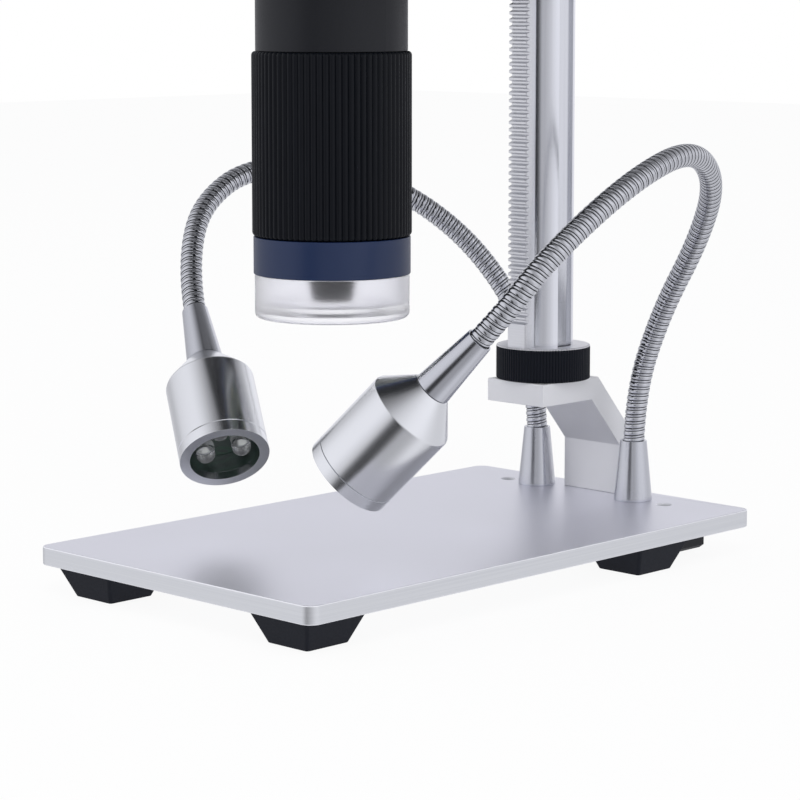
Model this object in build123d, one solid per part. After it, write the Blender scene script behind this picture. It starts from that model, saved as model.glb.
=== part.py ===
from build123d import *
from math import acos, atan2, cos, degrees, hypot, pi, radians, sin, sqrt, tan
import os

# Digital microscope with its own screen: a stand with a round rack column, a focusing carriage and
# arm, a barrel with a focusing grip, a tilting screen, and two gooseneck lamps.
# The origin is on the table, under the middle of the base plate. +X is to the right of a person who
# looks at the screen, +Y is to the back and +Z is up. All sizes are in millimetres.

# ---- Base plate and feet ----
plate_width = 120.0
plate_length = 200.0
plate_thickness = 5.6
plate_corner_radius = 4.0
plate_edge_break = 0.4
foot_height = 9.8
foot_top_width = 24.8
foot_bottom_width = 16.5
foot_corner_radius = 1.0
front_foot_inset = (17.2, 15.7)      # from the plate's side and front edges to the foot's centre
rear_foot_inset = (14.6, 42.1)       # from the plate's side and back edges

# ---- Post bracket, bent twice, and what stands on it ----
bracket_width = 24.4
bracket_thickness = 7.4
bracket_back_gap = 2.8               # from the bracket's foot to the plate's back edge
bracket_shelf_height = 41.1          # shelf top above the plate
bracket_shelf_reach = 46.4           # from the foot's back face to the shelf's front edge
bracket_knee_height = 16.8           # where the underside leaves the foot
bracket_slope_run = 14.6             # how far the slope reaches forwards
column_setback = 32.6                # from the foot's back face to the column's axis
column_radius = 9.75
column_length = 195.0
column_groove_width = 6.5
column_groove_depth = 1.6
collar_radius = 15.5
collar_height = 11.2
collar_ribs = 72
collar_rib_depth = 0.35
cap_radius = 14.2
cap_height = 3.0

# ---- Rack and pinion ----
gear_module = 0.75
pressure_angle = radians(20)
rack_width = 7.8
rack_tip = 13.4                      # tooth tips, from the column's axis
rack_seat = 7.2                      # floor of the column's slot, from the same axis
rack_edge_break = 0.25
rack_plain_length = 8.5
rack_top_gap = 1.0
pinion_teeth = 20
pinion_backlash = 0.06
mesh_gap = 0.03                      # added to the centre distance, so that the teeth run free
pinion_shaft_radius = 3.0

# ---- Carriage, arm and their screws ----
carriage_width = 34.0
carriage_height = 32.0
carriage_wall = 4.5                  # behind the column
carriage_front_wall = 4.8            # in front of the pinion's bore
carriage_lift = 168.6                # underside above the plate, as it stands
carriage_corner_radius = 4.0
arm_reach = 97.2                     # from the column's axis to the barrel's axis
arm_width = 18.0
arm_height = 18.0
arm_flange_thickness = 6.0
arm_ring_wall = 7.0
knob_radius = 17.0
knob_length = 14.0
knob_ribs = 36
thumb_radius = 8.0
thumb_length = 9.0
thumb_ribs = 20

# ---- Barrel, grip and nose ----
barrel_radius = 23.0
barrel_neck_radius = 21.0            # the thinner part that the grip turns on
barrel_bore = 18.1
barrel_top_bore = 20.5
nose_height = 69.7                   # nose above the plate, as it stands
shade_height = 13.3
shade_radius = 23.5
shade_wall = 1.9
nose_ring_radius = 23.85
nose_ring_height = 11.4
grip_radius = 24.2
grip_length = 55.6
grip_flutes = 78
grip_flute_depth = 0.55
lens_snout_radius = 7.2
lens_travel = 3.0

# ---- Screen ----
screen_width = 140.0
screen_height = 84.0
screen_corner_radius = 8.0
screen_front_depth = 9.0
screen_back_depth = 10.0
screen_wall = 2.2
screen_face = 2.4                    # thickness of the front and back walls
screen_below_hinge = 24.0
screen_tilt = 20.0                   # degrees back from upright, as it stands
window_size = (111.0, 63.0)
window_shift = -4.0                  # the picture stands left of the buttons
hinge_offset = (-19.4, 28.0)         # hinge from the barrel's axis, and above the barrel's top
hinge_to_back = 11.0
hinge_pin_radius = 2.5
hinge_ear_thickness = 6.0
knuckle_width = 35.0
button_radius = 3.5
button_stand = 1.0                   # how far a button stands out of the front
button_travel = 1.2
button_pitch = 13.0

# ---- Gooseneck lamps ----
socket_spacing = 42.6
socket_back_inset = 14.0
socket_height = 20.0
socket_bottom_radius = 6.3
socket_top_radius = 4.4
hose_radius = 3.4
hose_seat_depth = 12.0
neck_length = 21.0
neck_mouth_radius = 4.15
neck_end_radius = 5.8
neck_mouth_bore = 3.74
lamp_radius = 13.9
lamp_cone_length = 9.5
lamp_body_length = 25.2
lamp_ring_length = 3.7
lamp_wall = 1.6
lamp_ring_opening = 10.8
lamp_board_depth = 10.5              # board's face, behind the ring's front
diode_radius = 3.0
diode_flange = 0.3                   # how far the flange at its foot stands out
diode_length = 8.2
diode_circle = 6.5
diode_turn = 46.0                    # degrees from level to the first diode

# ---- Clearances ----
running_gap = 0.05                   # radial, a part that turns or slides on another
seat_gap = 0.02                      # radial, a part that is seated and stays
screw_gap = 0.15                     # radial, a screw in the hole that it passes through

plate_bottom = foot_height
plate_top = foot_height + plate_thickness
plate_back = plate_length / 2
bracket_back = plate_back - bracket_back_gap
column_y = bracket_back - column_setback
shelf_top = plate_top + bracket_shelf_height
shelf_bottom = shelf_top - bracket_thickness
column_top = shelf_top + column_length
collar_top = shelf_top + collar_height
barrel_y = column_y - arm_reach
os.makedirs("parts", exist_ok=True)


def save(name, *solids):
    """Writes one sub-part, of one solid or a group of separate ones."""
    shape = solids[0] if len(solids) == 1 else Compound(children=list(solids))
    export_step(shape, f"parts/{name}.step")


def rod(radius, start, length, axis="Z"):
    """A round bar that begins at start and runs along +X, +Y or +Z."""
    turn = {"X": Rot(0, 90, 0), "Y": Rot(-90, 0, 0), "Z": Rot(0, 0, 0)}[axis]
    return Pos(*start) * turn * Cylinder(radius, length, align=(Align.CENTER, Align.CENTER, Align.MIN))


def block(low, high):
    """A box between two opposite corners."""
    size = [b - a for a, b in zip(low, high)]
    return Pos(*low) * Box(*size, align=(Align.MIN, Align.MIN, Align.MIN))


def turned(points, place=Location()):
    """A turned part: an outline of (radius, height) points spun about +Z."""
    outline = Plane.XZ * make_face(Polyline(*points, close=True))
    return place * revolve(outline, Axis.Z)


def fluted(radius, low, high, count, depth, edge, share=0.5):
    """A round bar along +Z with V grooves evenly round its side, between two plain bevelled ends."""
    half = share * pi / count
    points = []
    for i in range(count):
        middle = 2 * pi * i / count
        for angle, r in ((middle - half, radius), (middle, radius - depth), (middle + half, radius)):
            points.append((r * cos(angle), r * sin(angle)))
    band = Pos(0, 0, low + edge) * extrude(make_face(Polyline(*points, close=True)), high - low - 2 * edge)
    root = radius - depth - seat_gap
    ends = turned([(0, low), (root - edge, low), (root, low + edge), (0, low + edge)])
    ends += turned([(0, high), (root - edge, high), (root, high - edge), (0, high - edge)])
    return band + ends


# ---- Base ----
front_foot = (plate_width / 2 - front_foot_inset[0], front_foot_inset[1] - plate_length / 2)
rear_foot = (plate_width / 2 - rear_foot_inset[0], plate_length / 2 - rear_foot_inset[1])
foot_places = [(side * x, y) for x, y in (front_foot, rear_foot) for side in (-1, 1)]
foot_screw_radius = 1.5
foot_screw_head = (3.0, 2.0)
foot_screw_bite = 4.0
foot_floor = 3.0                     # rubber above the screw's head
socket_y = plate_back - socket_back_inset
socket_places = [(side * socket_spacing / 2, socket_y) for side in (-1, 1)]
socket_tail_radius = 3.0
cover_screw_radius = 2.4
cover_screw_x = 34.5
cover_screw_bite = 3.4
bracket_screw_radius = 2.0
bracket_screw_head = (3.9, 2.2)
bracket_screw_x = 7.0
bracket_screw_bite = 9.0
bracket_screw_y = bracket_back - bracket_thickness / 2


def base_plate():
    plate = Pos(0, 0, plate_bottom) * extrude(
        RectangleRounded(plate_width, plate_length, plate_corner_radius), plate_thickness)
    rims = plate.faces().sort_by(Axis.Z)[-1].edges() + plate.faces().sort_by(Axis.Z)[0].edges()
    plate = chamfer(rims, plate_edge_break)
    for x, y in foot_places:
        plate -= rod(foot_screw_radius + seat_gap, (x, y, plate_bottom), foot_screw_bite)
    for x, y in socket_places:
        plate -= rod(socket_tail_radius + screw_gap, (x, y, plate_bottom), plate_thickness)
    for side in (-1, 1):
        plate -= rod(cover_screw_radius, (side * cover_screw_x, socket_y, plate_bottom), plate_thickness)
        hole = (side * bracket_screw_x, bracket_screw_y, plate_bottom)
        plate -= rod(bracket_screw_radius + screw_gap, hole, plate_thickness)
        radius, depth = bracket_screw_head
        plate -= Pos(*hole) * Cone(radius + screw_gap, bracket_screw_radius + screw_gap, depth,
                                   align=(Align.CENTER, Align.CENTER, Align.MIN))
    return plate


def feet():
    made = []
    for x, y in foot_places:
        top = Plane.XY.offset(foot_height) * RectangleRounded(
            foot_top_width, foot_top_width, foot_corner_radius)
        bottom = RectangleRounded(foot_bottom_width, foot_bottom_width, foot_corner_radius)
        foot = loft([bottom, top])
        foot -= rod(foot_screw_head[0] + screw_gap, (0, 0, 0), foot_height - foot_floor)
        foot -= rod(foot_screw_radius + screw_gap, (0, 0, 0), foot_height)
        made.append(Pos(x, y, 0) * foot)
    return made


def foot_screws():
    head_radius, head_height = foot_screw_head
    head_top = foot_height - foot_floor
    made = []
    for x, y in foot_places:
        screw = rod(head_radius, (x, y, head_top - head_height), head_height)
        screw += rod(foot_screw_radius, (x, y, head_top), foot_floor + foot_screw_bite - seat_gap)
        made.append(screw)
    return made


save("base_plate", base_plate())
save("feet", *feet())


# ---- Post bracket ----
column_bolt_radius = 3.0
column_bolt_head = (5.0, 4.0)
column_bolt_recess = 0.3               # the head stands in from the shelf's underside
column_bolt_bite = 18.0
column_bolt_seat = shelf_bottom + column_bolt_recess + column_bolt_head[1]


def post_bracket():
    back, front = bracket_back, bracket_back - bracket_shelf_reach
    knee = back - bracket_thickness                       # front face of the foot
    slope = atan2(bracket_shelf_height - bracket_thickness - bracket_knee_height, bracket_slope_run)
    low_rise = bracket_thickness * tan((pi / 2 - slope) / 2)
    top_shift = bracket_thickness * tan(slope / 2)
    outline = [
        (front, shelf_bottom), (knee - bracket_slope_run, shelf_bottom),
        (knee, plate_top + bracket_knee_height), (knee, plate_top), (back, plate_top),
        (back, plate_top + bracket_knee_height + low_rise),
        (knee - bracket_slope_run + top_shift, shelf_top), (front, shelf_top),
    ]
    profile = Plane.YZ * make_face(Polyline(*outline, close=True))
    bracket = extrude(profile, bracket_width / 2, both=True)
    bracket = chamfer(bracket.edges().filter_by(Axis.X), 0.4)
    bracket -= rod(column_bolt_radius + screw_gap, (0, column_y, shelf_bottom), bracket_thickness)
    bracket -= rod(column_bolt_head[0] + screw_gap, (0, column_y, shelf_bottom),
                   column_bolt_seat - shelf_bottom)
    for side in (-1, 1):
        hole = (side * bracket_screw_x, bracket_screw_y, plate_top)
        bracket -= rod(bracket_screw_radius + seat_gap, hole, bracket_screw_bite)
    return bracket


def bracket_screws():
    made = []
    radius, depth = bracket_screw_head
    for side in (-1, 1):
        place = (side * bracket_screw_x, bracket_screw_y, plate_bottom)
        screw = Pos(*place) * Cone(radius, bracket_screw_radius, depth,
                                   align=(Align.CENTER, Align.CENTER, Align.MIN))
        screw += rod(bracket_screw_radius, place, plate_thickness + bracket_screw_bite - seat_gap)
        made.append(screw)
    return made


save("post_bracket", post_bracket())


# ---- Column, rack, collar and cap ----
cap_screw_radius = 2.0
cap_screw_length = 10.0


def column():
    bar = rod(column_radius, (0, column_y, shelf_top), column_length)
    bar -= block((-rack_width / 2 - seat_gap, column_y - column_radius - 1, collar_top),
                 (rack_width / 2 + seat_gap, column_y - rack_seat, column_top))
    for side in (-1, 1):
        groove = Box(2 * column_groove_depth, column_groove_width, column_length,
                     align=(Align.CENTER, Align.CENTER, Align.MIN))
        bar -= Pos(side * column_radius, column_y, collar_top) * groove
    bar -= rod(column_bolt_radius + seat_gap, (0, column_y, shelf_top), column_bolt_bite)
    bar -= rod(cap_screw_radius + seat_gap, (0, column_y, column_top - cap_screw_length), cap_screw_length)
    return bar


def column_collar():
    ring = fluted(collar_radius, 0, collar_height, collar_ribs, collar_rib_depth, 0.9)
    ring -= rod(column_radius + seat_gap, (0, 0, 0), collar_height)
    return Pos(0, column_y, shelf_top) * ring


def column_bolt():
    radius, height = column_bolt_head
    bolt = rod(radius, (0, column_y, column_bolt_seat - height), height)
    bolt += rod(column_bolt_radius, (0, column_y, column_bolt_seat),
                shelf_top - column_bolt_seat + column_bolt_bite - 1)
    hexagon = extrude(RegularPolygon(2.9, 6), height / 2)
    return bolt - Pos(0, column_y, column_bolt_seat - height) * hexagon


def column_cap():
    cap = turned([(0, 0), (cap_radius, 0), (cap_radius, cap_height - 1), (cap_radius - 1, cap_height),
                  (0, cap_height)], Pos(0, column_y, column_top))
    return cap + rod(cap_screw_radius, (0, column_y, column_top - cap_screw_length + 1),
                     cap_screw_length - 1)


pitch = pi * gear_module
rack_pitch_line = rack_tip - gear_module
rack_low = collar_top
rack_high = column_top - rack_top_gap
first_tooth = rack_low + rack_plain_length + pitch / 2
tooth_count = int((rack_high - first_tooth) / pitch)


def rack():
    """A straight bar whose front carries teeth with straight flanks, above a plain foot."""
    tip_half = pitch / 4 - gear_module * tan(pressure_angle)
    root_depth = 2.25 * gear_module
    root_half = tip_half + root_depth * tan(pressure_angle)
    tip, root = column_y - rack_tip, column_y - rack_tip + root_depth
    outline = [(column_y - rack_seat, rack_low), (tip, rack_low), (tip, first_tooth - pitch + tip_half)]
    for i in range(tooth_count):
        z = first_tooth + i * pitch
        outline += [(root, z - root_half), (tip, z - tip_half), (tip, z + tip_half), (root, z + root_half)]
    outline.insert(3, (root, first_tooth - pitch + root_half))
    outline += [(root, rack_high), (column_y - rack_seat, rack_high)]
    bar = extrude(Plane.YZ * make_face(Polyline(*outline, close=True)), rack_width / 2, both=True)
    for side in (-1, 1):
        corner = Box(rack_edge_break * sqrt(2), rack_edge_break * sqrt(2), column_length,
                     align=(Align.CENTER, Align.CENTER, Align.MIN))
        bar -= Pos(side * rack_width / 2, tip, rack_low) * Rot(0, 0, 45) * corner
    return bar


save("column", column())
save("column_collar", column_collar())
save("column_bolt", column_bolt())
save("column_cap", column_cap())
save("rack", rack())


# ---- Focusing carriage: its height is the nearest at which the pinion meets a gap of the rack ----
pinion_radius = pinion_teeth * gear_module / 2
pinion_y = column_y - rack_pitch_line - pinion_radius - mesh_gap
pinion_bore = pinion_radius + gear_module + 0.4
wanted_height = plate_top + carriage_lift + carriage_height / 2
pinion_z = first_tooth + (round((wanted_height - first_tooth) / pitch - 0.5) + 0.5) * pitch
carriage_bottom = pinion_z - carriage_height / 2
carriage_top = pinion_z + carriage_height / 2
carriage_front = pinion_y - pinion_bore - carriage_front_wall
carriage_back = column_y + column_radius + carriage_wall
arm_screw_radius = 2.0
arm_screw_x = 13.0
arm_screw_head = (3.5, 3.0)
arm_screw_bite = 3.6
lock_screw_radius = 2.5
pinion_face = rack_width - 0.4


def carriage():
    size = (carriage_width, carriage_back - carriage_front, carriage_height)
    body = Box(*size)
    body = fillet(body.edges().filter_by(Axis.Z), carriage_corner_radius)
    ends = body.faces().sort_by(Axis.Z)
    body = chamfer(ends[0].edges() + ends[-1].edges(), 0.8)
    body = Pos(0, (carriage_back + carriage_front) / 2, pinion_z) * body
    body -= rod(column_radius + running_gap, (0, column_y, carriage_bottom), carriage_height)
    slot = rack_width / 2 + 0.3
    body -= block((-slot, column_y - rack_tip - 0.5, carriage_bottom), (slot, column_y, carriage_top))
    body -= rod(pinion_bore, (-carriage_width / 2, pinion_y, pinion_z), carriage_width, "X")
    body -= rod(lock_screw_radius + running_gap, (0, column_y, pinion_z), carriage_back - column_y, "Y")
    for side in (-1, 1):
        hole = (side * arm_screw_x, carriage_front, pinion_z)
        body -= rod(arm_screw_radius + seat_gap, hole, arm_screw_bite, "Y")
    return body


def pinion_bushes():
    made = []
    length = carriage_width / 2 - pinion_face / 2 - 0.3
    for side in (-1, 1):
        low = pinion_face / 2 + 0.3 if side > 0 else -carriage_width / 2
        bush = rod(pinion_bore - seat_gap, (low, pinion_y, pinion_z), length, "X")
        bush -= rod(pinion_shaft_radius + running_gap, (low, pinion_y, pinion_z), length, "X")
        bush -= block((-carriage_width, column_y - rack_tip - 0.5, carriage_bottom),
                      (carriage_width, column_y, carriage_top))
        made.append(bush)
    return made


def pinion_outline():
    """Involute teeth, the first of which points along +X."""
    base, tip = pinion_radius * cos(pressure_angle), pinion_radius + gear_module
    root = pinion_radius - 1.25 * gear_module
    half_tooth = pi / (2 * pinion_teeth) - pinion_backlash / (2 * pinion_radius)
    flank_steps = 4

    def half_angle(radius):
        lean = acos(min(1.0, base / radius))
        return half_tooth + (tan(pressure_angle) - pressure_angle) - (tan(lean) - lean)

    radii = [root] + [base + (tip - base) * i / flank_steps for i in range(flank_steps + 1)]
    points = []
    for tooth in range(pinion_teeth):
        middle = 2 * pi * tooth / pinion_teeth
        for radius in radii:
            angle = middle - half_angle(radius)
            points.append((radius * cos(angle), radius * sin(angle)))
        for radius in reversed(radii):
            angle = middle + half_angle(radius)
            points.append((radius * cos(angle), radius * sin(angle)))
    return make_face(Polyline(*points, close=True))


shaft_half = carriage_width / 2 + 1.5 + knob_length - 3


def pinion_shaft():
    gear = extrude(pinion_outline(), pinion_face / 2, both=True)
    facing_rack = Plane(origin=(0, pinion_y, pinion_z), x_dir=(0, 1, 0), z_dir=(1, 0, 0))
    shaft = rod(pinion_shaft_radius, (-shaft_half, pinion_y, pinion_z), 2 * shaft_half, "X")
    return facing_rack * gear + shaft


def focus_knob(side):
    """A fluted knob with a dished face, pressed on the shaft's end."""
    knob = fluted(knob_radius, 0, knob_length, knob_ribs, 0.7, 1.4, 0.6)
    knob -= Pos(0, 0, knob_length - 1.2) * Cone(knob_radius - 5, knob_radius - 4, 1.2,
                                                align=(Align.CENTER, Align.CENTER, Align.MIN))
    knob -= rod(pinion_shaft_radius + seat_gap, (0, 0, 0), knob_length - 3 + seat_gap)
    outwards = Rot(0, side * 90, 0)
    return Pos(side * (carriage_width / 2 + 1.5), pinion_y, pinion_z) * outwards * knob


def thumb_knob():
    """The head of a thumb screw, standing on the XY plane."""
    return fluted(thumb_radius, 0, thumb_length, thumb_ribs, 0.6, 1.0, 0.6)


def lock_screw():
    knob_start = carriage_back + 1.5
    tip = column_y + column_radius + 0.15
    screw = Pos(0, knob_start, pinion_z) * Rot(-90, 0, 0) * thumb_knob()
    return screw + rod(lock_screw_radius, (0, tip, pinion_z), knob_start - tip, "Y")


save("carriage", carriage())
save("pinion_bushes", *pinion_bushes())
save("pinion_shaft", pinion_shaft())
save("focus_knob_left", focus_knob(-1))
save("focus_knob_right", focus_knob(1))
save("lock_screw", lock_screw())


# ---- Arm with the ring that holds the barrel ----
arm_bottom = pinion_z - arm_height / 2
arm_top = arm_bottom + arm_height
arm_ring_radius = barrel_radius + running_gap + arm_ring_wall
clamp_screw_radius = 2.0


def arm():
    ring = rod(arm_ring_radius, (0, barrel_y, arm_bottom), arm_height)
    bar = block((-arm_width / 2, barrel_y, arm_bottom + 2), (arm_width / 2, carriage_front, arm_top - 2))
    shoulder = Plane.XY.offset(arm_bottom + 2) * make_face(Polyline(
        (-arm_width / 2, barrel_y + arm_ring_radius + 16), (-arm_ring_radius * 0.86, barrel_y + 12),
        (arm_ring_radius * 0.86, barrel_y + 12), (arm_width / 2, barrel_y + arm_ring_radius + 16),
        close=True))
    flange = block((-carriage_width / 2, carriage_front - arm_flange_thickness, arm_bottom),
                   (carriage_width / 2, carriage_front, arm_top))
    boss = rod(6.0, (arm_ring_radius - 3, barrel_y, pinion_z), 6.0, "X")
    body = ring + bar + extrude(shoulder, arm_height - 4) + flange + boss
    body -= rod(barrel_radius + running_gap, (0, barrel_y, arm_bottom), arm_height)
    body -= rod(clamp_screw_radius + running_gap, (barrel_radius, barrel_y, pinion_z), 30, "X")
    for side in (-1, 1):
        hole = (side * arm_screw_x, carriage_front - arm_flange_thickness, pinion_z)
        body -= rod(arm_screw_radius + screw_gap, hole, arm_flange_thickness, "Y")
    return body


def arm_screws():
    radius, height = arm_screw_head
    made = []
    for side in (-1, 1):
        seat = carriage_front - arm_flange_thickness
        screw = rod(radius, (side * arm_screw_x, seat - height, pinion_z), height, "Y")
        screw += rod(arm_screw_radius, (side * arm_screw_x, seat, pinion_z),
                     arm_flange_thickness + arm_screw_bite - seat_gap, "Y")
        socket = Rot(-90, 0, 0) * extrude(RegularPolygon(1.7, 6), height / 2)
        made.append(screw - Pos(side * arm_screw_x, seat - height, pinion_z) * socket)
    return made


def clamp_screw():
    knob_start = arm_ring_radius + 4.5
    tip = barrel_radius + 0.15
    screw = Pos(knob_start, barrel_y, pinion_z) * Rot(0, 90, 0) * thumb_knob()
    return screw + rod(clamp_screw_radius, (tip, barrel_y, pinion_z), knob_start - tip, "X")


save("arm", arm())
save("arm_screws", *arm_screws())
save("clamp_screw", clamp_screw())


# ---- Barrel and nose, from the nose upwards ----
nose_bottom = plate_top + nose_height
shade_top = nose_bottom + shade_height
nose_ring_top = shade_top + nose_ring_height
grip_bottom = nose_ring_top + 0.15
grip_top = grip_bottom + grip_length
barrel_step = grip_top + 0.15
barrel_top = arm_top + running_gap               # the head rests on the arm's ring
ring_seat = nose_ring_top - 4.5                  # the barrel's lower end
board_top = ring_seat - 3.0
board_thickness = 1.6
shade_collar_top = board_top - board_thickness
shade_collar_radius = barrel_neck_radius + 0.9
board_hole = lens_snout_radius + 1.6
sensor_ledge = barrel_top - 26.0
barrel_axis = Pos(0, barrel_y, 0)
slot_height = nose_ring_top + 11.0
cam_pin_radius = 1.2


def barrel():
    tube = turned([
        (barrel_bore, ring_seat), (barrel_neck_radius, ring_seat), (barrel_neck_radius, barrel_step),
        (barrel_radius, barrel_step), (barrel_radius, barrel_top), (barrel_top_bore, barrel_top),
        (barrel_top_bore, sensor_ledge), (barrel_bore, sensor_ledge)])
    tube -= block((0, -cam_pin_radius - running_gap, slot_height - lens_travel - cam_pin_radius - 0.2),
                  (barrel_neck_radius + 1, cam_pin_radius + running_gap,
                   slot_height + lens_travel + cam_pin_radius + 0.2))
    return barrel_axis * tube


def focus_grip():
    grip = fluted(grip_radius, grip_bottom, grip_top, grip_flutes, grip_flute_depth, 1.0)
    grip -= rod(barrel_neck_radius + running_gap, (0, 0, grip_bottom), grip_length)
    return barrel_axis * grip


def nose_ring():
    return turned([
        (shade_collar_radius + seat_gap, shade_top), (nose_ring_radius, shade_top),
        (nose_ring_radius, nose_ring_top - 0.3), (nose_ring_radius - 0.3, nose_ring_top),
        (barrel_neck_radius + seat_gap, nose_ring_top), (barrel_neck_radius + seat_gap, ring_seat),
        (barrel_bore, ring_seat), (barrel_bore, board_top), (shade_collar_radius + seat_gap, board_top)],
        barrel_axis)


def nose_shade():
    """A frosted skirt, its lip rounded outside, with a thinner collar that seats in the nose ring."""
    rim = 1.6
    inner = shade_radius - shade_wall
    outline = Polyline((inner, nose_bottom), (shade_radius - rim, nose_bottom))
    outline += RadiusArc((shade_radius - rim, nose_bottom), (shade_radius, nose_bottom + rim), -rim)
    outline += Polyline(
        (shade_radius, nose_bottom + rim), (shade_radius, shade_top), (shade_collar_radius, shade_top),
        (shade_collar_radius, shade_collar_top), (shade_collar_radius - 1.5, shade_collar_top),
        (shade_collar_radius - 1.5, shade_top - 1.5), (inner, shade_top - 2.5), (inner, nose_bottom))
    return barrel_axis * revolve(Plane.XZ * make_face(outline), Axis.Z)


def nose_board():
    board = rod(shade_collar_radius - seat_gap, (0, 0, shade_collar_top), board_thickness)
    return barrel_axis * (board - rod(board_hole, (0, 0, shade_collar_top), board_thickness))


def nose_leds():
    made = []
    for place in PolarLocations(14.5, 8):
        led = place * block((-1.75, -1.4, shade_collar_top - 1), (1.75, 1.4, shade_collar_top))
        made.append(barrel_axis * led)
    return made


def sensor_board():
    board = rod(barrel_top_bore - seat_gap, (0, 0, sensor_ledge), board_thickness)
    board += Pos(0, 0, sensor_ledge - 1.2) * Box(9, 9, 1.2, align=(Align.CENTER, Align.CENTER, Align.MIN))
    return barrel_axis * board


lens_cell_bottom = ring_seat + 2.0
lens_cell_top = lens_cell_bottom + 20.0
snout_bottom = nose_bottom + 5.0
front_lens_radius = 4.8
rear_lens_radius = 9.0


def lens_cell():
    """The sliding cell: a sleeve in the barrel, a floor, and a snout that narrows to the front lens."""
    sleeve = barrel_bore - running_gap
    ledge = front_lens_radius - 0.8
    cell = turned([
        (ledge, snout_bottom), (lens_snout_radius - 1.2, snout_bottom),
        (lens_snout_radius, snout_bottom + 6), (lens_snout_radius, lens_cell_bottom),
        (sleeve, lens_cell_bottom), (sleeve, lens_cell_top), (sleeve - 2, lens_cell_top),
        (sleeve - 2, lens_cell_bottom + 6), (rear_lens_radius + seat_gap, lens_cell_bottom + 6),
        (rear_lens_radius + seat_gap, lens_cell_bottom + 2.5),
        (front_lens_radius + seat_gap, lens_cell_bottom + 2.5),
        (front_lens_radius + seat_gap, snout_bottom + 1), (ledge, snout_bottom + 1)])
    cell += rod(cam_pin_radius, (sleeve - 1, 0, slot_height), barrel_neck_radius - sleeve + 0.9, "X")
    return barrel_axis * cell


def lens(radius, low, edge, crown):
    """A glass with a flat back and a domed top."""
    sphere_radius = (radius ** 2 + crown ** 2) / (2 * crown)
    dome = Pos(0, 0, low + edge + crown - sphere_radius) * Sphere(sphere_radius)
    return barrel_axis * (rod(radius, (0, 0, low), edge + crown) & dome)


save("barrel", barrel())
save("focus_grip", focus_grip())
save("nose_ring", nose_ring())
save("nose_shade", nose_shade())
save("nose_board", nose_board())
save("nose_leds", *nose_leds())
save("sensor_board", sensor_board())
save("lens_cell", lens_cell())
save("lenses", lens(front_lens_radius, snout_bottom + 1, 2, 1.2),
     lens(rear_lens_radius, lens_cell_bottom + 2.5, 2, 1.4))


# ---- Head housing and the hinge of the screen ----
hinge_y = barrel_y + hinge_offset[0]
hinge_z = barrel_top + hinge_offset[1]
knuckle_radius = hinge_pin_radius + 3.5
ear_inside = knuckle_width / 2 + 0.4
ear_outside = ear_inside + hinge_ear_thickness
housing_top = hinge_z - hinge_to_back - 2.6
ear_margin = 0.8                                 # the ears stand in from the crown's edges
pin_half = ear_outside + 1.0
head_foot_radius = barrel_radius + 3.0           # wider than the ring that it rests on


def head_housing():
    """A cap on the barrel that grows forwards into two ears for the hinge pin."""
    foot = Plane.XY.offset(barrel_top) * Pos(0, barrel_y, 0) * Circle(head_foot_radius)
    crown_front = hinge_y - knuckle_radius - ear_margin
    crown_back = barrel_y + barrel_radius - 4
    crown = Plane.XY.offset(housing_top) * Pos(0, (crown_front + crown_back) / 2, 0) * RectangleRounded(
        2 * (ear_outside + ear_margin), crown_back - crown_front, 5)
    body = loft([foot, crown])
    body += barrel_axis * rod(barrel_top_bore - seat_gap, (0, 0, barrel_top - 5), 5)
    for side in (-1, 1):
        low = ear_inside if side > 0 else -ear_outside
        ear = rod(knuckle_radius, (low, hinge_y, hinge_z), hinge_ear_thickness, "X")
        ear += block((low, hinge_y - knuckle_radius, housing_top - 3),
                     (low + hinge_ear_thickness, hinge_y + knuckle_radius, hinge_z))
        body += ear
    body -= rod(hinge_pin_radius + seat_gap, (-ear_outside, hinge_y, hinge_z), 2 * ear_outside, "X")
    return body


def hinge_pin():
    return rod(hinge_pin_radius, (-pin_half, hinge_y, hinge_z), 2 * pin_half, "X")


save("head_housing", head_housing())
save("hinge_pin", hinge_pin())


# ---- Screen, drawn upright and then leaned back about its hinge ----
screen_back_face = hinge_y - hinge_to_back
screen_split = screen_back_face - screen_back_depth
screen_front_face = screen_split - screen_front_depth
screen_middle = hinge_z - screen_below_hinge + screen_height / 2
glass_thickness = 1.2
glass_margin = 1.5
panel_margin = 3.5
panel_thickness = 3.0
inner_front = screen_front_face + screen_face
inner_back = screen_back_face - screen_face
button_x = (screen_width / 2 - screen_wall + window_shift + window_size[0] / 2 + panel_margin) / 2
button_names = ("power", "menu", "up", "down", "capture")
button_heights = [screen_middle + button_pitch * (2 - i) for i in range(len(button_names))]
flange_radius = button_radius + 1.0
screen_screw_radius = 1.25
screen_post_radius = 3.0
screen_post_x = screen_width / 2 - screen_wall - screen_post_radius + 0.8
screen_post_z = screen_height / 2 - screen_wall - screen_post_radius + 0.8
lean_back = Pos(0, hinge_y, hinge_z) * Rot(-screen_tilt, 0, 0) * Pos(0, -hinge_y, -hinge_z)


def upright(outline, low_y, high_y, x=0.0, z=None):
    """A slab whose face is the outline, from low_y back to high_y."""
    centre = screen_middle if z is None else z
    slab = Pos(x, high_y, centre) * Rot(90, 0, 0) * extrude(outline, high_y - low_y)
    return slab


def post_places():
    return [(sx * screen_post_x, screen_middle + sz * screen_post_z) for sx in (-1, 1) for sz in (-1, 1)]


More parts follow.
